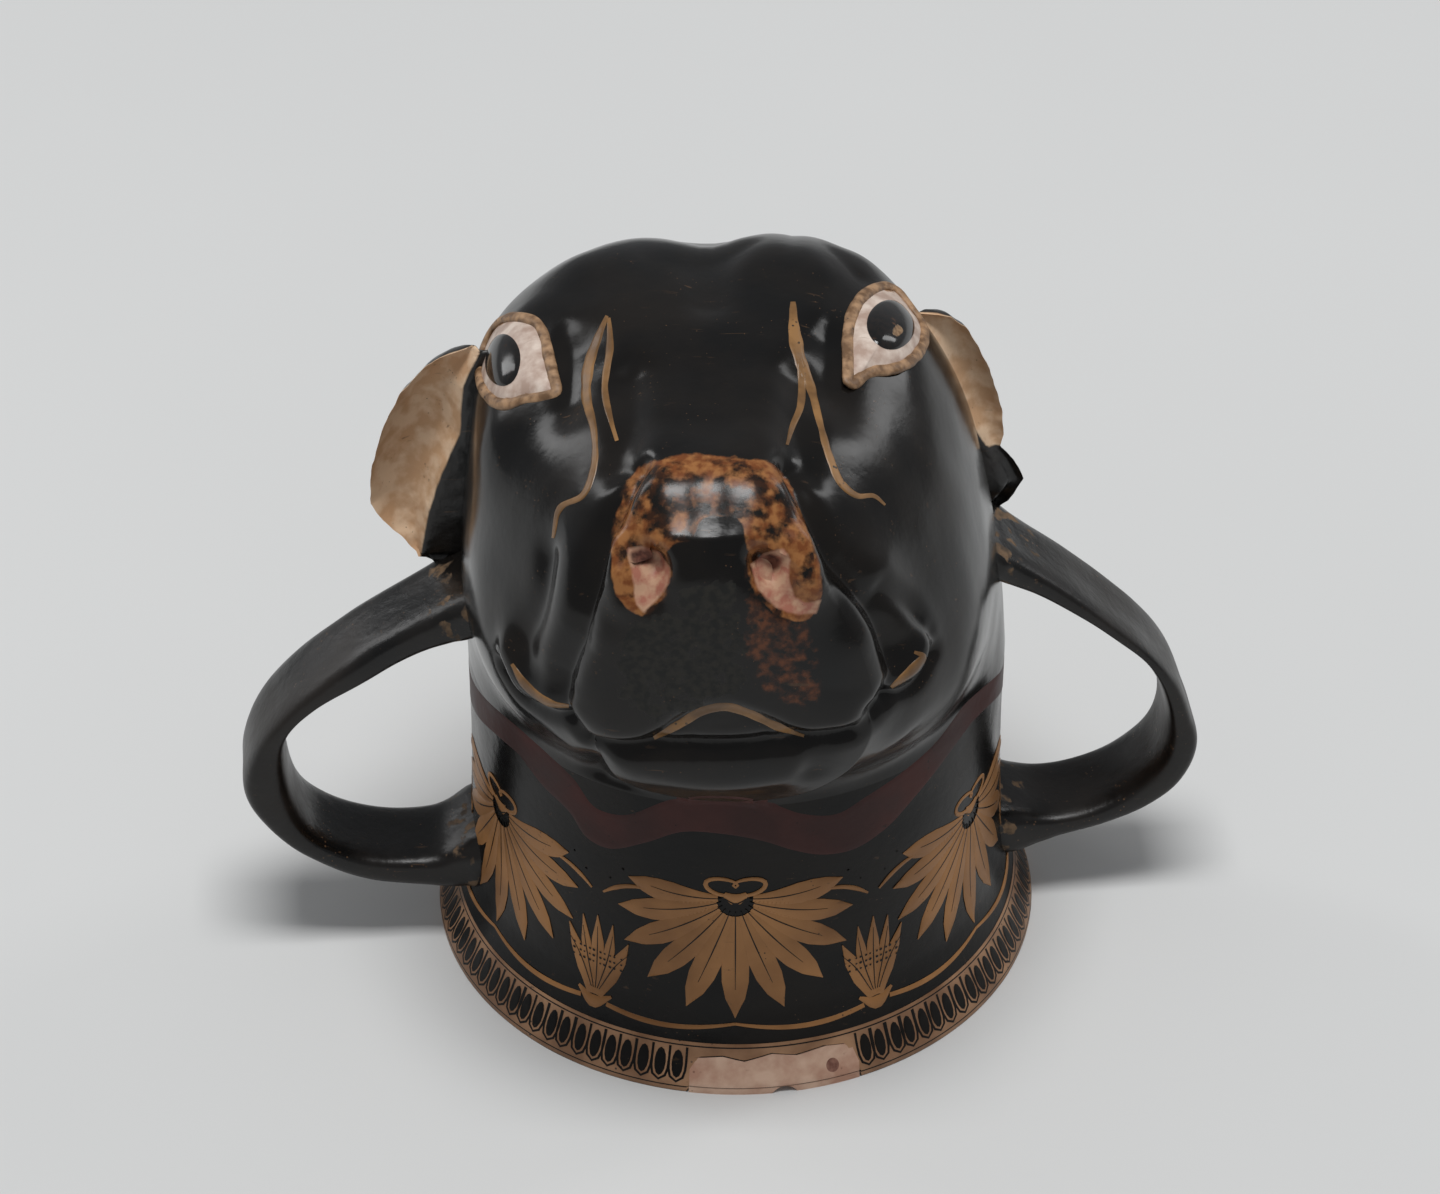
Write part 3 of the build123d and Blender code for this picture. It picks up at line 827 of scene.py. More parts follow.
# Each line: its path over the photograph, and its widths in millimetres from end to end.
LINES = [
    ([(607, 316), (597, 340), (589, 364), (586, 393), (594, 432), (593, 471), (582, 496), (561, 507),
      (553, 538)], [0.8, 2.4, 2.9, 2.4, 1.8, 1.6, 1.6, 1.7, 0.6]),
    ([(609, 318), (610, 343), (605, 393), (611, 421), (617, 441)], [0.8, 2.2, 1.8, 1.7, 0.9]),
    ([(793, 302), (794, 328), (800, 359), (810, 385), (820, 423), (830, 458), (842, 484), (858, 496),
      (874, 496), (885, 505)], [1.3, 3.2, 3.2, 2.6, 2.0, 1.8, 1.8, 1.9, 1.6, 0.6]),
    ([(799, 350), (802, 384), (800, 408), (793, 425), (787, 445)], [0.8, 2.2, 1.9, 1.7, 0.8]),
    ([(512, 664), (523, 682), (538, 696), (553, 704), (569, 706)], [0.8, 1.9, 2.4, 1.9, 0.7]),
    ([(891, 687), (904, 677), (916, 666), (923, 656), (914, 652)], [0.7, 2.2, 2.6, 2.0, 0.8]),
    ([(654, 738), (680, 724), (703, 711), (727, 707), (748, 713), (776, 726), (804, 736)],
     [0.9, 2.4, 2.2, 2.0, 2.2, 2.0, 0.7]),
]


class Brush:
    """Lays strips along paths on a form, and makes them one piece."""

    def __init__(self, place, step, fewest, shares, shake=0.0):
        self.place, self.step, self.fewest, self.shares, self.shake = place, step, fewest, shares, shake
        self.points, self.faces = [], []

    def stroke(self, path, widths):
        """One strip; only its inner points are raised."""
        reach = np.linalg.norm(np.diff(path, axis=0), axis=1).sum()
        count = max(int(reach / self.step), self.fewest)
        line = along(path, count)
        ahead = unit(np.gradient(line, axis=0))
        half = np.interp(np.linspace(0, 1, count), np.linspace(0, 1, len(widths)), widths) / 2
        self.faces += grid_faces(count, len(self.shares), False, len(self.points))
        for (x, y), (dx, dy), wide in zip(line, ahead, half):
            wide *= 1 + self.shake * noise.noise(Vector((x / 14, y / 14, 31)))
            self.points += [self.place((x - dy * share * wide, y + dx * share * wide), abs(share) < 1)
                            for share in self.shares]

    def piece(self, name):
        return make_piece(name, self.points, self.faces)


def on_head(pixel, raised):
    spot, normal = meet(head_tree, pixel)
    return spot + normal * (HEAD_LIFT if raised else HEAD_SUNK) * MM


line_brush = Brush(on_head, 2.2, 8, (-1, -0.86, -0.4, 0, 0.4, 0.86, 1), 0.22)
for path, widths in LINES:
    line_brush.stroke(path, np.array(widths) / PIXEL_MM)
vein_lines = line_brush.piece("vein_lines")

# %% [markdown]
# A dull purple-red band waves round the neck, below the jaw. At the front its two
# edges are taken from the photograph; the hidden back carries on level. It is a
# skin of paint, so it is laid over head and bowl together, edges sunk.

# %% Purple-red band
BAND_UPPER = [(524, 731), (550, 754), (573, 776), (598, 807), (619, 813), (670, 798), (721, 794), (769, 800),
              (800, 811), (835, 812), (866, 794), (901, 771), (932, 745), (962, 706)]
BAND_LOWER = [(519, 756), (542, 787), (570, 815), (587, 840), (606, 850), (644, 845), (682, 834), (721, 836),
              (765, 844), (795, 853), (823, 857), (853, 852), (885, 832), (915, 799), (972, 724)]
BAND_ROWS, BAND_FRONT, BAND_BACK = 12, 150, 220
BAND_LIFT, BAND_SUNK = 0.07, -0.1
BACK_HEIGHTS = np.array([0.072, 0.061])
CLEAR_OF_CUP = 0.12
cup_tree = search_tree(head, bowl)
shares = np.linspace(0, 1, BAND_ROWS)


def wall_at(angle, z):
    """The cup's outer skin at an angle round the axis and a height; zero faces the front."""
    way = Vector((math.sin(angle), -math.cos(angle), 0))
    point, normal, _, _ = cup_tree.ray_cast(way * CLEAR_OF_CUP + Vector((0, 0, z)), -way)
    return np.array(point), np.array(normal)


columns = [[meet(cup_tree, mix(a, b, s)) for s in shares]
           for a, b in zip(along(BAND_UPPER, BAND_FRONT), along(BAND_LOWER, BAND_FRONT))]
# Where the front part ends: angle and height of the upper and the lower edge.
right, left = (np.array([(math.atan2(x, -y), z) for x, y, z in (column[0][0], column[-1][0])])
               for column in (columns[-1], columns[0]))
left[:, 0] += ROUND
for s in np.linspace(0, 1, BAND_BACK)[1:-1]:
    edges = mix(right, left, s)
    edges[:, 1] = mix(edges[:, 1], BACK_HEIGHTS, smooth_step(0, 0.16, s) * smooth_step(1, 0.84, s))
    columns.append([wall_at(*mix(*edges, q)) for q in shares])
points = [spot + normal * (BAND_LIFT if 0 < k < BAND_ROWS - 1 else BAND_SUNK) * MM
          for column in columns for k, (spot, normal) in enumerate(column)]
purple_band = make_piece("purple_band", points, ring_faces(len(columns), BAND_ROWS, False))

# %% [markdown]
# The nose pad was left in clay, then painted, and most of that paint wore off. Its
# outline and the pink nostrils are drawn over the photograph too. Each vertex of
# the head learns how far inside a drawn outline it lies, and the finish breaks
# the outline up with noise.

# %% Outlines for the worn and painted parts of the head
PAD = [(622, 498), (630, 478), (640, 468), (655, 461), (675, 457), (698, 454), (734, 458), (767, 460),
       (782, 472), (794, 495), (804, 520), (813, 545), (820, 572), (822, 594), (812, 618), (795, 622),
       (775, 614), (758, 598), (748, 578), (747, 556), (744, 528), (734, 514), (704, 516), (692, 536),
       (664, 552), (672, 576), (662, 600), (642, 616), (628, 611), (617, 596), (611, 570), (612, 535)]
LEFT_NOSTRIL = [(627, 549), (640, 546), (660, 552), (671, 568), (670, 582), (660, 597), (644, 613),
                (636, 604), (634, 587), (630, 566)]
RIGHT_NOSTRIL = [(750, 564), (763, 554), (784, 547), (790, 560), (789, 580), (795, 596), (806, 602),
                 (821, 600), (816, 613), (798, 615), (775, 607), (757, 586)]
NOSTRIL_PITS = ((641, 556), (768, 562))
STREAK = [(748, 600), (770, 612), (800, 622), (812, 650), (815, 690), (808, 706), (790, 705), (770, 690),
          (752, 660), (744, 630)]
MATT = [(622, 622), (660, 612), (690, 585), (735, 580), (745, 620), (742, 690), (700, 706), (650, 725),
        (618, 690)]
FRONT_Y, MASK_FROM_Z = -0.045, 0.09


def photo_pixels(points):
    """Where points of the scene show in the photograph."""
    x, y, z = ((points - np.array(eye_point)) @ np.array(camera.rotation_quaternion.to_matrix())).T
    return np.stack([PHOTO_WIDTH / 2 - FOCAL_PIXELS * x / z, PHOTO_HEIGHT / 2 + FOCAL_PIXELS * y / z], -1)


def inside_outline(pixels, outline, soft):
    """From 0 outside a closed outline to 1 inside it, soft over some pixels."""
    x, y = pixels.T
    outline = np.array(outline + outline[:1], dtype=float)
    crossings = np.zeros(len(pixels), dtype=int)
    for (x1, y1), (x2, y2) in zip(outline[:-1], outline[1:]):
        x_at = x1 + (y - y1) * (x2 - x1) / (y2 - y1 if y1 != y2 else 1)
        crossings += ((y < y1) != (y < y2)) & (x < x_at)
    return smooth_step(-soft, soft, distance_to_path(pixels, outline) * np.where(crossings % 2, 1, -1))


p = read_mesh(head)
pixels = photo_pixels(p)
x, y = pixels.T
pad = inside_outline(pixels, PAD, 5)
nostril = np.maximum(inside_outline(pixels, LEFT_NOSTRIL, 5), inside_outline(pixels, RIGHT_NOSTRIL, 5))
# How much of the pad's black paint is left, by height, across, and along the middle.
by_height = np.interp(y, [455, 470, 486, 512, 530, 545, 620], [0.05, 0.15, 0.70, 0.60, 0.42, 0.30, 0.26])
across = np.interp(x, [610, 632, 650, 760, 785, 820], [0.45, 0.75, 1.0, 1.0, 0.75, 0.45])
middle = np.exp(-(((x - 726) / 17) ** 2)) * np.interp(y, [468, 496], [0.0, 0.85])
# Painted shade: the deep mask darkens each nostril round its pit, where the pad overhangs it.
from_pits = np.minimum(*(np.hypot((x - u) / 13, (y - v) / 8) for u, v in NOSTRIL_PITS))
masks = {
    "pad": pad,
    "nostril": nostril,
    "streak": inside_outline(pixels, STREAK, 8) * 0.62,
    "matt": inside_outline(pixels, MATT, 10) * 0.7,
    "pad_black": np.minimum(2 * pad, 1) * np.maximum(by_height * across, middle),
    "deep": smooth_step(1.5, 0.6, from_pits) * nostril,
}
for label, values in masks.items():
    set_mask(head, label, values * (p[:, 1] < FRONT_Y) * (p[:, 2] > MASK_FROM_Z))
print("head masks:", ", ".join(masks))

# %% [markdown]
# Attic slip is a thin, glossy skin of very fine clay that fired black. It is never
# one colour: it is browner where it is thin, it has pits and scratches, and bare
# clay shows where it wore off. Two shader groups give these effects, and each
# finish places them with its own values.

# %% Shader groups
PIT_SCALE, HAIR_TURN, HAIR_STRETCH = 700.0, (0.4, 0.3, 0.7), (60, 900, 900)


def spread(tree, value, low, high, to_low=0.0, to_high=1.0):
    """Stretches a value from one range over another."""
    ranges = {"From Min": low, "From Max": high, "To Min": to_low, "To Max": to_high}
    return (add_node(tree, "ShaderNodeMapRange", {"Value": value, **ranges}), 0)


def clouds(tree, place, scale, detail=4.0):
    """Soft noise over a place."""
    return (add_node(tree, "ShaderNodeTexNoise", {"Vector": place, "Scale": scale, "Detail": detail}), "Fac")


def own_place(tree):
    """The place on the object itself."""
    return (add_node(tree, "ShaderNodeTexCoord", {}), "Object")


def hand_finish():
    """Patches, pits, fine scratches and a height for a surface finished by hand."""
    tree, start, end = new_tree("ShaderNodeTree", "hand_finish", ["Patch Scale", "Pit Share"],
                                ["Patches", "Pits", "Scratches", "Height"])
    place = own_place(tree)
    where = spread(tree, clouds(tree, place, 130.0), 0.52, 0.66)
    cells = add_node(tree, "ShaderNodeTexVoronoi", {"Vector": place, "Scale": PIT_SCALE})
    near = maths(tree, "LESS_THAN", (cells, "Distance"), (start, "Pit Share"))
    pits = maths(tree, "MULTIPLY", near, where)
    hair = add_node(tree, "ShaderNodeMapping",
                    {"Vector": place, "Rotation": HAIR_TURN, "Scale": HAIR_STRETCH})
    hairs = spread(tree, clouds(tree, (hair, "Vector"), 1.0, 2.0), 0.66, 0.72)
    feed(tree, end, {
        "Patches": spread(tree, clouds(tree, place, (start, "Patch Scale")), 0.38, 0.64),
        "Pits": pits,
        "Scratches": maths(tree, "MULTIPLY", hairs, where),
        "Height": maths(tree, "SUBTRACT", clouds(tree, place, 420.0), pits),
    })
    return tree


def ragged_mask():
    """A mask whose edge is broken up by noise, as worn paint is."""
    labels = ["Mask", "Noise Scale", "Raggedness", "Softness"]
    tree, start, end = new_tree("ShaderNodeTree", "ragged_mask", labels, ["Mask"])
    mask, scale, raggedness, softness = ((start, label) for label in labels)
    centred = maths(tree, "SUBTRACT", clouds(tree, own_place(tree), scale, 9.0), 0.5)
    shift = maths(tree, "MULTIPLY", maths(tree, "MULTIPLY", centred, raggedness), 4.0)
    sharp = spread(tree, maths(tree, "ADD", mask, shift), maths(tree, "SUBTRACT", 0.5, softness),
                   maths(tree, "ADD", 0.5, softness))
    # None of the noise reaches a surface whose mask is zero.
    held = spread(tree, mask, 0.02, 0.12)
    feed(tree, end, {"Mask": maths(tree, "MULTIPLY", sharp, held)})
    return tree


HAND_FINISH = hand_finish()
RAGGED_MASK = ragged_mask()
print("shader groups:", HAND_FINISH.name, RAGGED_MASK.name)

# %% [markdown]
# Every finish is two tones in soft patches, with pits and scratches in a third.
# Layers lie over them where a mask says so: worn paint on the nose pad, pink in
# the nostrils with painted shade in their upper parts, bare clay in the ears, the
# black of the pupils and painted shade round the eyes' edges. The slip is nearly
# black and glossy; clay, stains and plaster are lighter and dull.

# %% Finishes
BUMP_DEPTH = 0.0006
SHARP = 0.08


def blend(tree, first, second, share):
    """A colour between two others, each a plain colour or a (node, output) pair."""
    first, second = ((*tone, 1) if len(tone) == 3 else tone for tone in (first, second))
    return (add_node(tree, "ShaderNodeMix", {0: share, 6: first, 7: second}, data_type="RGBA"), 2)


def finish(name, deep, light, pit, rough, layers=(), patch_scale=45.0, pit_share=0.10, bump=0.12, gloss=0.5):
    """A finish; a layer is (attribute, two tones, roughness, noise scale, raggedness, softness)."""
    made = bpy.data.materials.new(name)
    made.use_nodes = True
    tree = made.node_tree
    hand = add_node(tree, "ShaderNodeGroup", {"Patch Scale": patch_scale, "Pit Share": pit_share},
                    node_tree=HAND_FINISH)
    colour = blend(tree, deep, light, (hand, "Patches"))
    roughness = spread(tree, (hand, "Patches"), 0, 1, *rough)
    for attribute, tones, layer_rough, scale, ragged, softness in layers:
        drawn = add_node(tree, "ShaderNodeAttribute", {}, attribute_name=attribute)
        values = {"Mask": (drawn, "Fac"), "Noise Scale": scale, "Raggedness": ragged, "Softness": softness}
        mask = (add_node(tree, "ShaderNodeGroup", values, node_tree=RAGGED_MASK), 0)
        flecks = spread(tree, clouds(tree, own_place(tree), scale * 1.9, 5.0), 0.40, 0.60)
        colour = blend(tree, colour, blend(tree, *tones, flecks), mask)
        roughness = (add_node(tree, "ShaderNodeMix", {0: mask, 2: roughness, 3: layer_rough}), 0)
    colour = blend(tree, colour, pit, (hand, "Pits"))
    colour = blend(tree, colour, pit, maths(tree, "MULTIPLY", (hand, "Scratches"), 0.5))
    relief = add_node(tree, "ShaderNodeBump",
                      {"Strength": bump, "Distance": BUMP_DEPTH, "Height": (hand, "Height")})
    feed(tree, tree.nodes["Principled BSDF"], {"Base Color": colour, "Roughness": roughness,
                                               "Specular IOR Level": gloss, "Normal": (relief, "Normal")})
    return made


SLIP_DEEP, SLIP_THIN = (0.0036, 0.0034, 0.0033), (0.0085, 0.0066, 0.0052)
PIT_BROWN = (0.10, 0.055, 0.028)
black_slip = finish("black_slip", SLIP_DEEP, SLIP_THIN, PIT_BROWN, (0.20, 0.32), gloss=0.18)
drawn_black = finish("drawn_black", SLIP_DEEP, SLIP_THIN, (0.05, 0.03, 0.015), (0.25, 0.38), gloss=0.18)
handle_slip = finish(
    "handle_slip", SLIP_DEEP, (0.014, 0.011, 0.009), PIT_BROWN, (0.26, 0.42),
    pit_share=0.16, bump=0.2, gloss=0.36,
    layers=[("worn", [(0.06, 0.04, 0.025), (0.16, 0.10, 0.055)], 0.7, 260.0, 0.7, SHARP)])
head_slip = finish(
    "head_slip", SLIP_DEEP, SLIP_THIN, PIT_BROWN, (0.15, 0.26), bump=0.07, gloss=0.30,
    layers=[
        ("pad", [(0.17, 0.052, 0.014), (0.31, 0.130, 0.042)], 0.32, 260.0, 0.35, 0.14),
        ("pad_black", [(0.007, 0.006, 0.005), (0.034, 0.013, 0.006)], 0.22, 250.0, 0.95, 0.26),
        ("nostril", [(0.38, 0.15, 0.10), (0.52, 0.31, 0.20)], 0.5, 200.0, 0.25, 0.18),
        # Painted shade in the nostrils' upper parts, under the pad's overhang.
        ("deep", [(0.055, 0.018, 0.012), (0.15, 0.055, 0.035)], 0.6, 300.0, 0.35, 0.42),
        ("streak", [(0.030, 0.010, 0.005), (0.130, 0.040, 0.013)], 0.3, 300.0, 1.0, 0.34),
        ("matt", [(0.010, 0.010, 0.009), (0.022, 0.020, 0.016)], 0.62, 300.0, 0.5, SHARP),
    ])
ear_slip = finish(
    "ear_slip", SLIP_DEEP, (0.013, 0.010, 0.008), PIT_BROWN, (0.30, 0.5), bump=0.3,
    layers=[("clay", [(0.60, 0.37, 0.21), (0.76, 0.55, 0.37)], 0.78, 110.0, 0.10, SHARP)])
eye_paint = finish(
    "eye_paint", (0.42, 0.30, 0.24), (0.68, 0.57, 0.49), (0.17, 0.08, 0.04), (0.4, 0.55), patch_scale=260.0,
    pit_share=0.03, bump=0.03,
    layers=[
        # Painted shade round the eye's edge, where the dome sinks under the lid.
        ("edge", [(0.20, 0.10, 0.045), (0.40, 0.23, 0.13)], 0.6, 300.0, 0.5, SHARP),
        ("pupil", [(0.006, 0.006, 0.006), (0.012, 0.009, 0.008)], 0.12, 500.0, 0.04, SHARP),
        ("pit", [(0.16, 0.085, 0.04), (0.30, 0.19, 0.10)], 0.6, 700.0, 0.5, 0.2),
    ])
line_paint = finish("line_paint", (0.13, 0.064, 0.021), (0.29, 0.148, 0.050), (0.02, 0.014, 0.01),
                    (0.3, 0.42), patch_scale=130.0, pit_share=0.2)
painted_clay = finish("painted_clay", (0.20, 0.095, 0.042), (0.40, 0.22, 0.115), (0.03, 0.02, 0.015),
                      (0.38, 0.5), patch_scale=80.0, pit_share=0.18)
frieze_clay = finish("frieze_clay", (0.21, 0.092, 0.029), (0.41, 0.195, 0.070), (0.05, 0.03, 0.02),
                     (0.36, 0.48), patch_scale=35.0, pit_share=0.14, gloss=0.25)
purple_red = finish("purple_red", (0.036, 0.0100, 0.0085), (0.066, 0.0190, 0.0160), (0.008, 0.006, 0.005),
                    (0.42, 0.55), patch_scale=60.0, pit_share=0.14, gloss=0.2)
lid_clay = finish("lid_clay", (0.15, 0.080, 0.037), (0.40, 0.24, 0.13), (0.02, 0.014, 0.01), (0.45, 0.6),
                  patch_scale=420.0, pit_share=0.25, bump=0.4)
plaster = finish("fill_plaster", (0.46, 0.25, 0.17), (0.66, 0.45, 0.33), (0.22, 0.10, 0.06), (0.7, 0.85),
                 patch_scale=150.0, pit_share=0.2, bump=0.35)
plug = finish("plug_plaster", (0.16, 0.06, 0.04), (0.34, 0.17, 0.12), (0.05, 0.03, 0.02), (0.7, 0.85),
              patch_scale=500.0, pit_share=0.2)
floor_sheet = finish("floor_sheet", (0.66, 0.665, 0.66), (0.68, 0.685, 0.68), (0.66, 0.665, 0.66),
                     (0.9, 0.95), patch_scale=2.0, pit_share=0.0, bump=0.0, gloss=0.1)
print("finishes:", len(bpy.data.materials))

# %% [markdown]
# Round the lip runs the old egg pattern: black drops, each in a thin black arch,
# on a band of bare clay. One egg is drawn once on the lip's own curve, and a
# Geometry Nodes tree turns copies of it about the axis, each a little off, as the
# brush was. The stretch above the fill has none.

# %% Egg band
WALL_RADIUS = 62.0
EGG_STEP, EGG_START, EGG_COUNT = math.radians(3.3333), math.radians(25.6), 98
EGG_WOBBLE = 0.004
DROP_POINTS, DROP_MIDDLE, DROP_LIFT = 12, 6.2, 0.12
DROP_WIDE, DROP_HIGH = 1.20, 2.95
ARCH = [(-1.80, 9.8), (-1.76, 5.9), (-1.38, 3.5), (0, 2.45), (1.38, 3.5), (1.76, 5.9), (1.80, 9.8)]
ARCH_POINTS, ARCH_WIDTH, ARCH_LIFT = 11, 0.52, 0.11
STRIP_COLUMNS, STRIP_SUNK, ABOVE_BREAK = 720, -0.05, 0.35


def on_bowl(u, z, lift):
    """A point on the bowl's outer skin, from millimetres along its front, of height and of lift."""
    angle, z = np.asarray(u, dtype=float) / WALL_RADIUS, np.asarray(z, dtype=float) * MM
    radius = bowl_outside(z) + lift * MM
    return np.stack([radius * np.sin(angle), -radius * np.cos(angle), z], -1)


def band(name, low, high, lift, rows):
    """A level strip round the bowl that stops above the broken stretch."""
    u = np.linspace(-math.pi, math.pi, STRIP_COLUMNS, endpoint=False) * WALL_RADIUS
    points = []
    for k, z in enumerate(np.linspace(low, high, rows)):
        here = on_bowl(u, np.full(STRIP_COLUMNS, z), 0)
        broken = break_height(here[:, 0], here[:, 1]) / MM
        height = np.minimum(np.where(broken > 0, np.maximum(z, broken + ABOVE_BREAK), z), high)
        points.append(on_bowl(u, height, lift if 0 < k < rows - 1 else STRIP_SUNK))
    return make_piece(name, np.concatenate(points), grid_faces(rows, STRIP_COLUMNS, True))


egg = Brush(lambda spot, raised: on_bowl(*spot, ARCH_LIFT), math.inf, ARCH_POINTS, (-1, 1))
egg.points += [on_bowl(DROP_WIDE * math.cos(a), DROP_MIDDLE + DROP_HIGH * math.sin(a), DROP_LIFT)
               for a in np.linspace(0, ROUND, DROP_POINTS, endpoint=False)]
egg.faces.append(list(range(DROP_POINTS)))
egg.stroke(ARCH, [ARCH_WIDTH, ARCH_WIDTH])

row, start, end = new_tree("GeometryNodeTree", "row_of_eggs", ["Geometry", "Count", "Step", "Start", "Seed"])
places = add_node(row, "GeometryNodePoints", {"Count": (start, "Count")})
index = add_node(row, "GeometryNodeInputIndex", {})
turns = maths(row, "ADD", maths(row, "MULTIPLY", (index, 0), (start, "Step")), (start, "Start"))
wobble = add_node(row, "FunctionNodeRandomValue", {2: -EGG_WOBBLE, 3: EGG_WOBBLE, "Seed": (start, "Seed")},
                  data_type="FLOAT")
turned_by = add_node(row, "ShaderNodeCombineXYZ", {"Z": maths(row, "ADD", turns, (wobble, 1))})
copies = add_node(row, "GeometryNodeInstanceOnPoints",
                  {"Points": (places, 0), "Instance": (start, "Geometry"), "Rotation": (turned_by, 0)})
end_tree(row, copies, end, drawn_black)
eggs = grown("eggs", bare_mesh("egg", egg.points, (), egg.faces), row,
             Count=EGG_COUNT, Step=EGG_STEP, Start=EGG_START, Seed=4)
work = bmesh.new()
work.from_mesh(eggs.data)
for face in work.faces:
    if face.normal.dot(face.calc_center_median() * Vector((1, 1, 0))) < 0:
        face.normal_flip()
work.to_mesh(eggs.data)
work.free()
egg_ground = band("egg_ground", 0.12, 11.0, 0.06, 24)
egg_lines = [band("egg_line_low", 1.1, 1.7, 0.10, 4), band("egg_line_high", 9.9, 10.5, 0.10, 4)]

# %% [markdown]
# The wall between the egg band and the neck carries a frieze in the colour of the
# clay. Here it is a chain of traditional palmettes and lotus flowers, hung from
# scrolls. Every leaf is a strip along its own middle line, wide in the belly and
# thin at the tip, with fine black lines drawn on top.

# %% Frieze
PALMETTES, PALMETTE_TOP, PALMETTE_SIZE = 6, 51.0, 34.0
LOTUS_LOW, LOTUS_SIZE = 15.5, 23.0
SPACING = WALL_RADIUS * ROUND / PALMETTES
WALL_SHARES = (-1, -0.9, 0, 0.9, 1)
CLAY_LIFT, BLACK_LIFT, WALL_SUNK = 0.08, 0.13, -0.03
clay_brush, black_brush = (
    Brush(lambda spot, raised, lift=lift: on_bowl(*spot, lift if raised else WALL_SUNK), 0.9, 6, WALL_SHARES)
    for lift in (CLAY_LIFT, BLACK_LIFT))
dots = []


def from_heart(heart, way, reach, tilt):
    """A gently bent line out of a heart, in a direction in degrees where zero hangs down."""
    a, b = math.radians(way), math.radians(way + tilt)
    return [(heart[0] + math.sin(mix(a, b, s)) * reach * s, heart[1] - math.cos(mix(a, b, s)) * reach * s)
            for s in np.linspace(0.16, 1, 7)]


def palmette(u, top, size):
    """Eleven leaves that hang from a heart, framed by two scrolls."""
    for k in range(-5, 6):
        reach, way = size * (1.0 - 0.011 * k * k), k * 16.5
        widths = [size * 0.182 * share for share in (0.3, 0.55, 0.8, 1, 0.98, 0.7)] + [0.1]
        clay_brush.stroke(from_heart((u, top), way, reach, k * 2.4), widths)
        black_brush.stroke(from_heart((u, top), way, reach * 0.78, k * 2.0), [0.22, 0.34, 0.1])
    clay_brush.stroke([(u - 2.6, top + 1.0), (u, top - 0.6), (u + 2.6, top + 1.0)], [1.2, 3.6, 1.2])
    black_brush.stroke([(u - 2.4, top - 0.3), (u, top - 1.8), (u + 2.4, top - 0.3)], [0.3, 0.4, 0.3])
    for way in (-1, 1):
        curl = [(u + way * (2.0 + 4.2 * math.sin(a) + 0.35 * a), top + 3.4 - 2.9 * math.cos(a) * (1 - a / 9))
                for a in np.linspace(0, 5.2, 12)]
        clay_brush.stroke(curl, [0.9, 1.1, 1.1, 0.9, 0.5])


def lotus(u, low, size):
    """Five pointed petals that rise from a cup of leaves, with dotted outlines."""
    for k in (-2, -1, 0, 1, 2):
        tip = (u + k * size * 0.17, low + size * (1 - 0.06 * k * k))
        belly = (u + k * size * 0.115, low + size * 0.48)
        width = size * (0.13 if k % 2 else 0.16)
        clay_brush.stroke([(u + k * 0.5, low + 1.0), belly, tip], [0.5 * width, width, width * 0.85, 0.15])
        vein = [(u + k * 0.5, low + 2.5), belly, (tip[0], tip[1] - size * 0.14)]
        black_brush.stroke(vein, [0.2, 0.32, 0.12])
        dots.extend([(belly[0] + side * width * 0.24, belly[1] + rise)
                     for side in (-1, 1) for rise in (-1.6, 0, 1.6)])
    clay_brush.stroke([(u - 4.2, low + 1.6), (u, low - 0.8), (u + 4.2, low + 1.6)], [0.6, 3.2, 0.6])


for k in range(PALMETTES):
    palmette(k * SPACING, PALMETTE_TOP, PALMETTE_SIZE)
    u = k * SPACING + SPACING / 2
    lotus(u, LOTUS_LOW, LOTUS_SIZE)
    for way in (-1, 1):
        clay_brush.stroke([(u + way * SPACING / 2 * s, 15.6 - 1.6 * math.sin(math.pi * s))
                           for s in np.linspace(0.1, 1, 9)], [1.0, 1.2, 1.0, 0.6])
        clay_brush.stroke([(u + way * (1.5 + 8.0 * s + 3.0 * s * s), 46.0 + 7.5 * s - 3.0 * s**3)
                           for s in np.linspace(0, 1, 8)], [0.5, 1.2, 1.1, 0.5])
        dots.extend([(u + way * 3.2, 50.6), (u + way * 6.4, 54.2)])
frieze = clay_brush.piece("frieze_palmettes")
frieze_lines = black_brush.piece("frieze_lines")

# %% [markdown]
# Small black dots follow the petals and the scrolls. Each is a flat disc a little
# proud of the wall, and a Geometry Nodes tree sets one on every marked spot,
# facing away from the axis, in sizes that vary as a brush's touches do.

# %% Dots of the frieze
DOT_RADIUS, DOT_SIDES, DOT_LIFT, DOT_SIZES = 0.00034, 7, 0.15, (0.75, 1.2)
dotted, start, end = new_tree("GeometryNodeTree", "dots_on_wall", ["Geometry", "Radius", "Seed"])
disc = add_node(dotted, "GeometryNodeMeshCircle", {"Radius": (start, "Radius"), "Vertices": DOT_SIDES},
                fill_type="NGON")
place = add_node(dotted, "GeometryNodeInputPosition", {})
outward = add_node(dotted, "ShaderNodeVectorMath", {0: (place, 0), 1: (1, 1, 0)}, operation="MULTIPLY")
facing = add_node(dotted, "FunctionNodeAlignRotationToVector", {"Vector": (outward, 0)}, axis="Z")
sizes = add_node(dotted, "FunctionNodeRandomValue",
                 {2: DOT_SIZES[0], 3: DOT_SIZES[1], "Seed": (start, "Seed")}, data_type="FLOAT")
copies = add_node(dotted, "GeometryNodeInstanceOnPoints", {
    "Points": (start, "Geometry"), "Instance": (disc, 0), "Rotation": (facing, 0), "Scale": (sizes, 1)})
end_tree(dotted, copies, end, drawn_black)
spots = [on_bowl(u, z, DOT_LIFT) for u, z in dots]
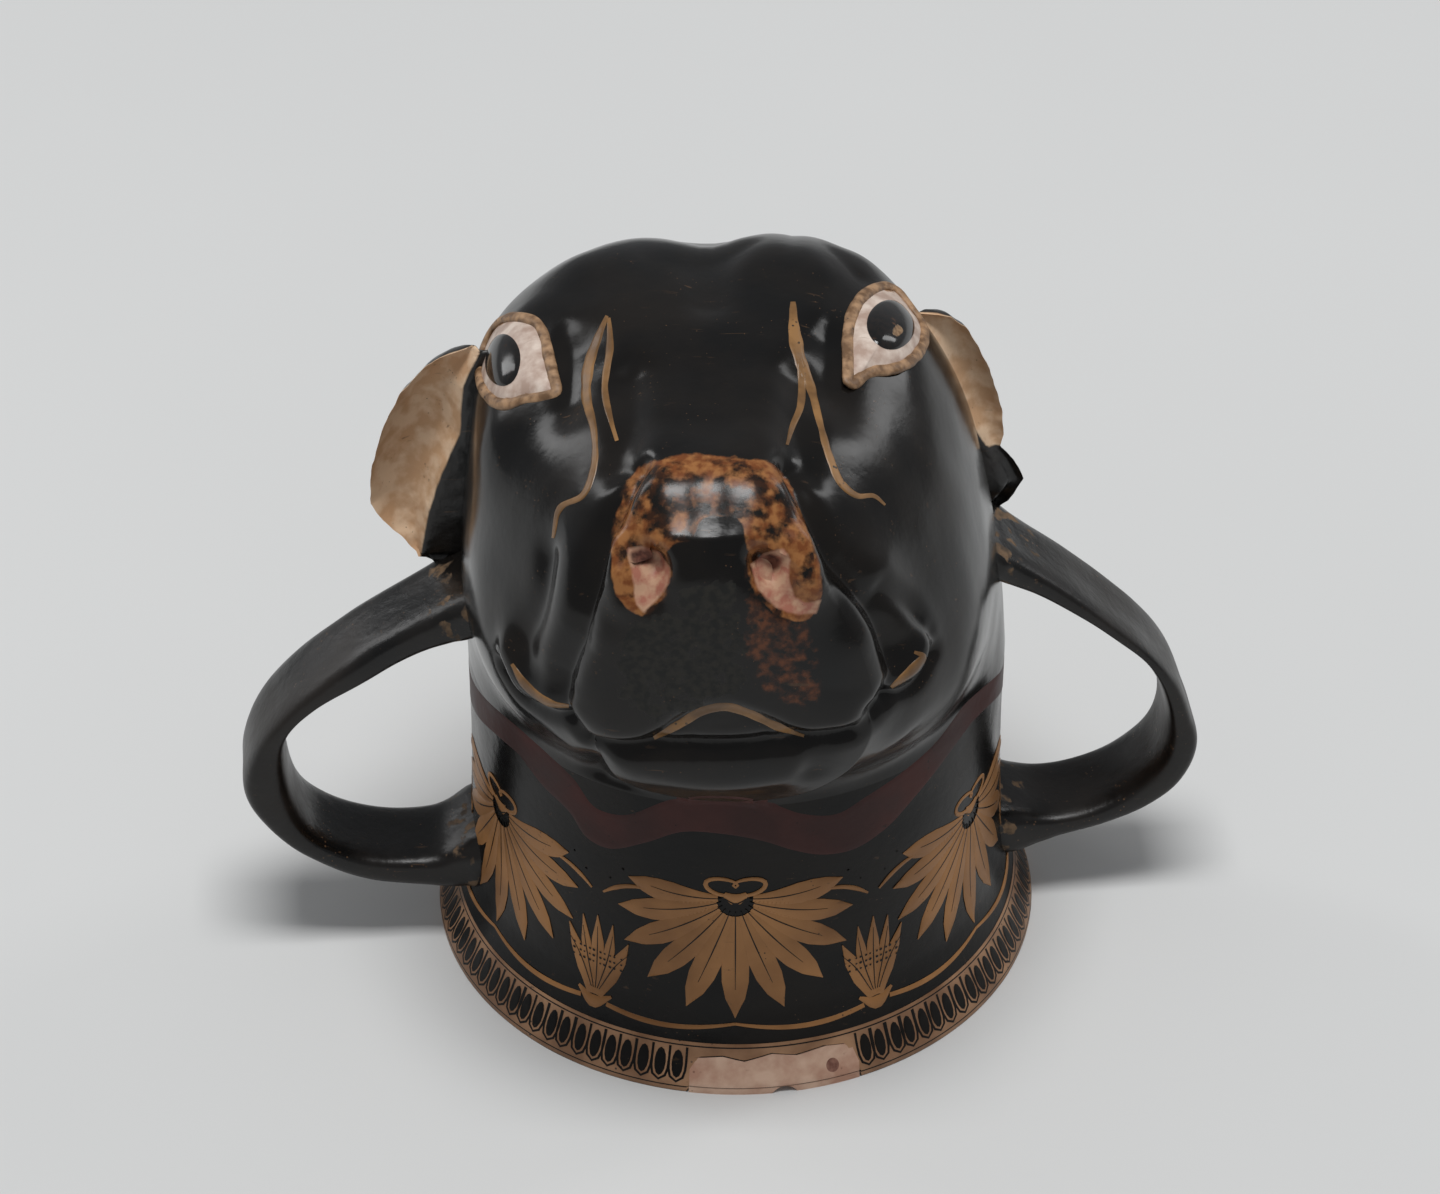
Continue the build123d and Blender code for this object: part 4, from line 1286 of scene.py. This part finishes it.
frieze_dots = grown("frieze_dots", bare_mesh("spots", spots), dotted, Radius=DOT_RADIUS, Seed=9)

# %% [markdown]
# Every piece gets its finish, rides on the cup and takes the place of the plain
# CAD solid that it stands for. Before that, the feet of the handles get the mask
# of their rubbed spots. The fill and its plug keep their CAD shape.

# %% Dress the pieces
SLIP, BARE = "fired_clay_slip", "bare_clay"


def finish_piece(piece, material, slot, *nodes):
    """Dresses a piece, lets it ride on the cup and hides the CAD nodes that it stands for."""
    piece.data.materials.clear()
    piece.data.materials.append(material)
    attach(piece, "root")
    if nodes:
        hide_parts(*nodes)


for piece in (handle_left, handle_right):
    p = read_mesh(piece)
    foot = smooth_step(0.072, 0.060, np.hypot(p[:, 0], p[:, 1]))
    rub = smooth_step(0.2, 0.9, np.abs(uneven(p, 0.006, 41)) * 2)
    set_mask(piece, "worn", foot * rub * 0.8)
for piece, made, slot, *nodes in (
    (bowl, black_slip, SLIP, "bowl"),
    (head, head_slip, SLIP, "head_left", "head_right"),
    (handle_left, handle_slip, SLIP, "handle_left"),
    (handle_right, handle_slip, SLIP, "handle_right"),
    (ear_left, ear_slip, SLIP, "ear_left"),
    (ear_right, ear_slip, SLIP, "ear_right"),
    (eye_left, eye_paint, SLIP, "eyeball_left"),
    (eye_right, eye_paint, SLIP, "eyeball_right"),
    (lid_left, lid_clay, BARE, "eyelid_left"),
    (lid_right, lid_clay, BARE, "eyelid_right"),
    (vein_lines, line_paint, SLIP),
    (purple_band, purple_red, SLIP),
    (egg_ground, painted_clay, SLIP),
    (eggs, drawn_black, SLIP),
    (egg_lines[0], drawn_black, SLIP),
    (egg_lines[1], drawn_black, SLIP),
    (frieze, frieze_clay, SLIP),
    (frieze_lines, drawn_black, SLIP),
    (frieze_dots, drawn_black, SLIP),
):
    finish_piece(piece, made, slot, *nodes)
for node, made in (("rim_fill", plaster), ("rim_plug", plug)):
    body = bpy.data.objects[node]
    if not body.material_slots:
        body.data.materials.append(made)
    for held in body.material_slots:
        held.material = made
floor.data.materials.append(floor_sheet)
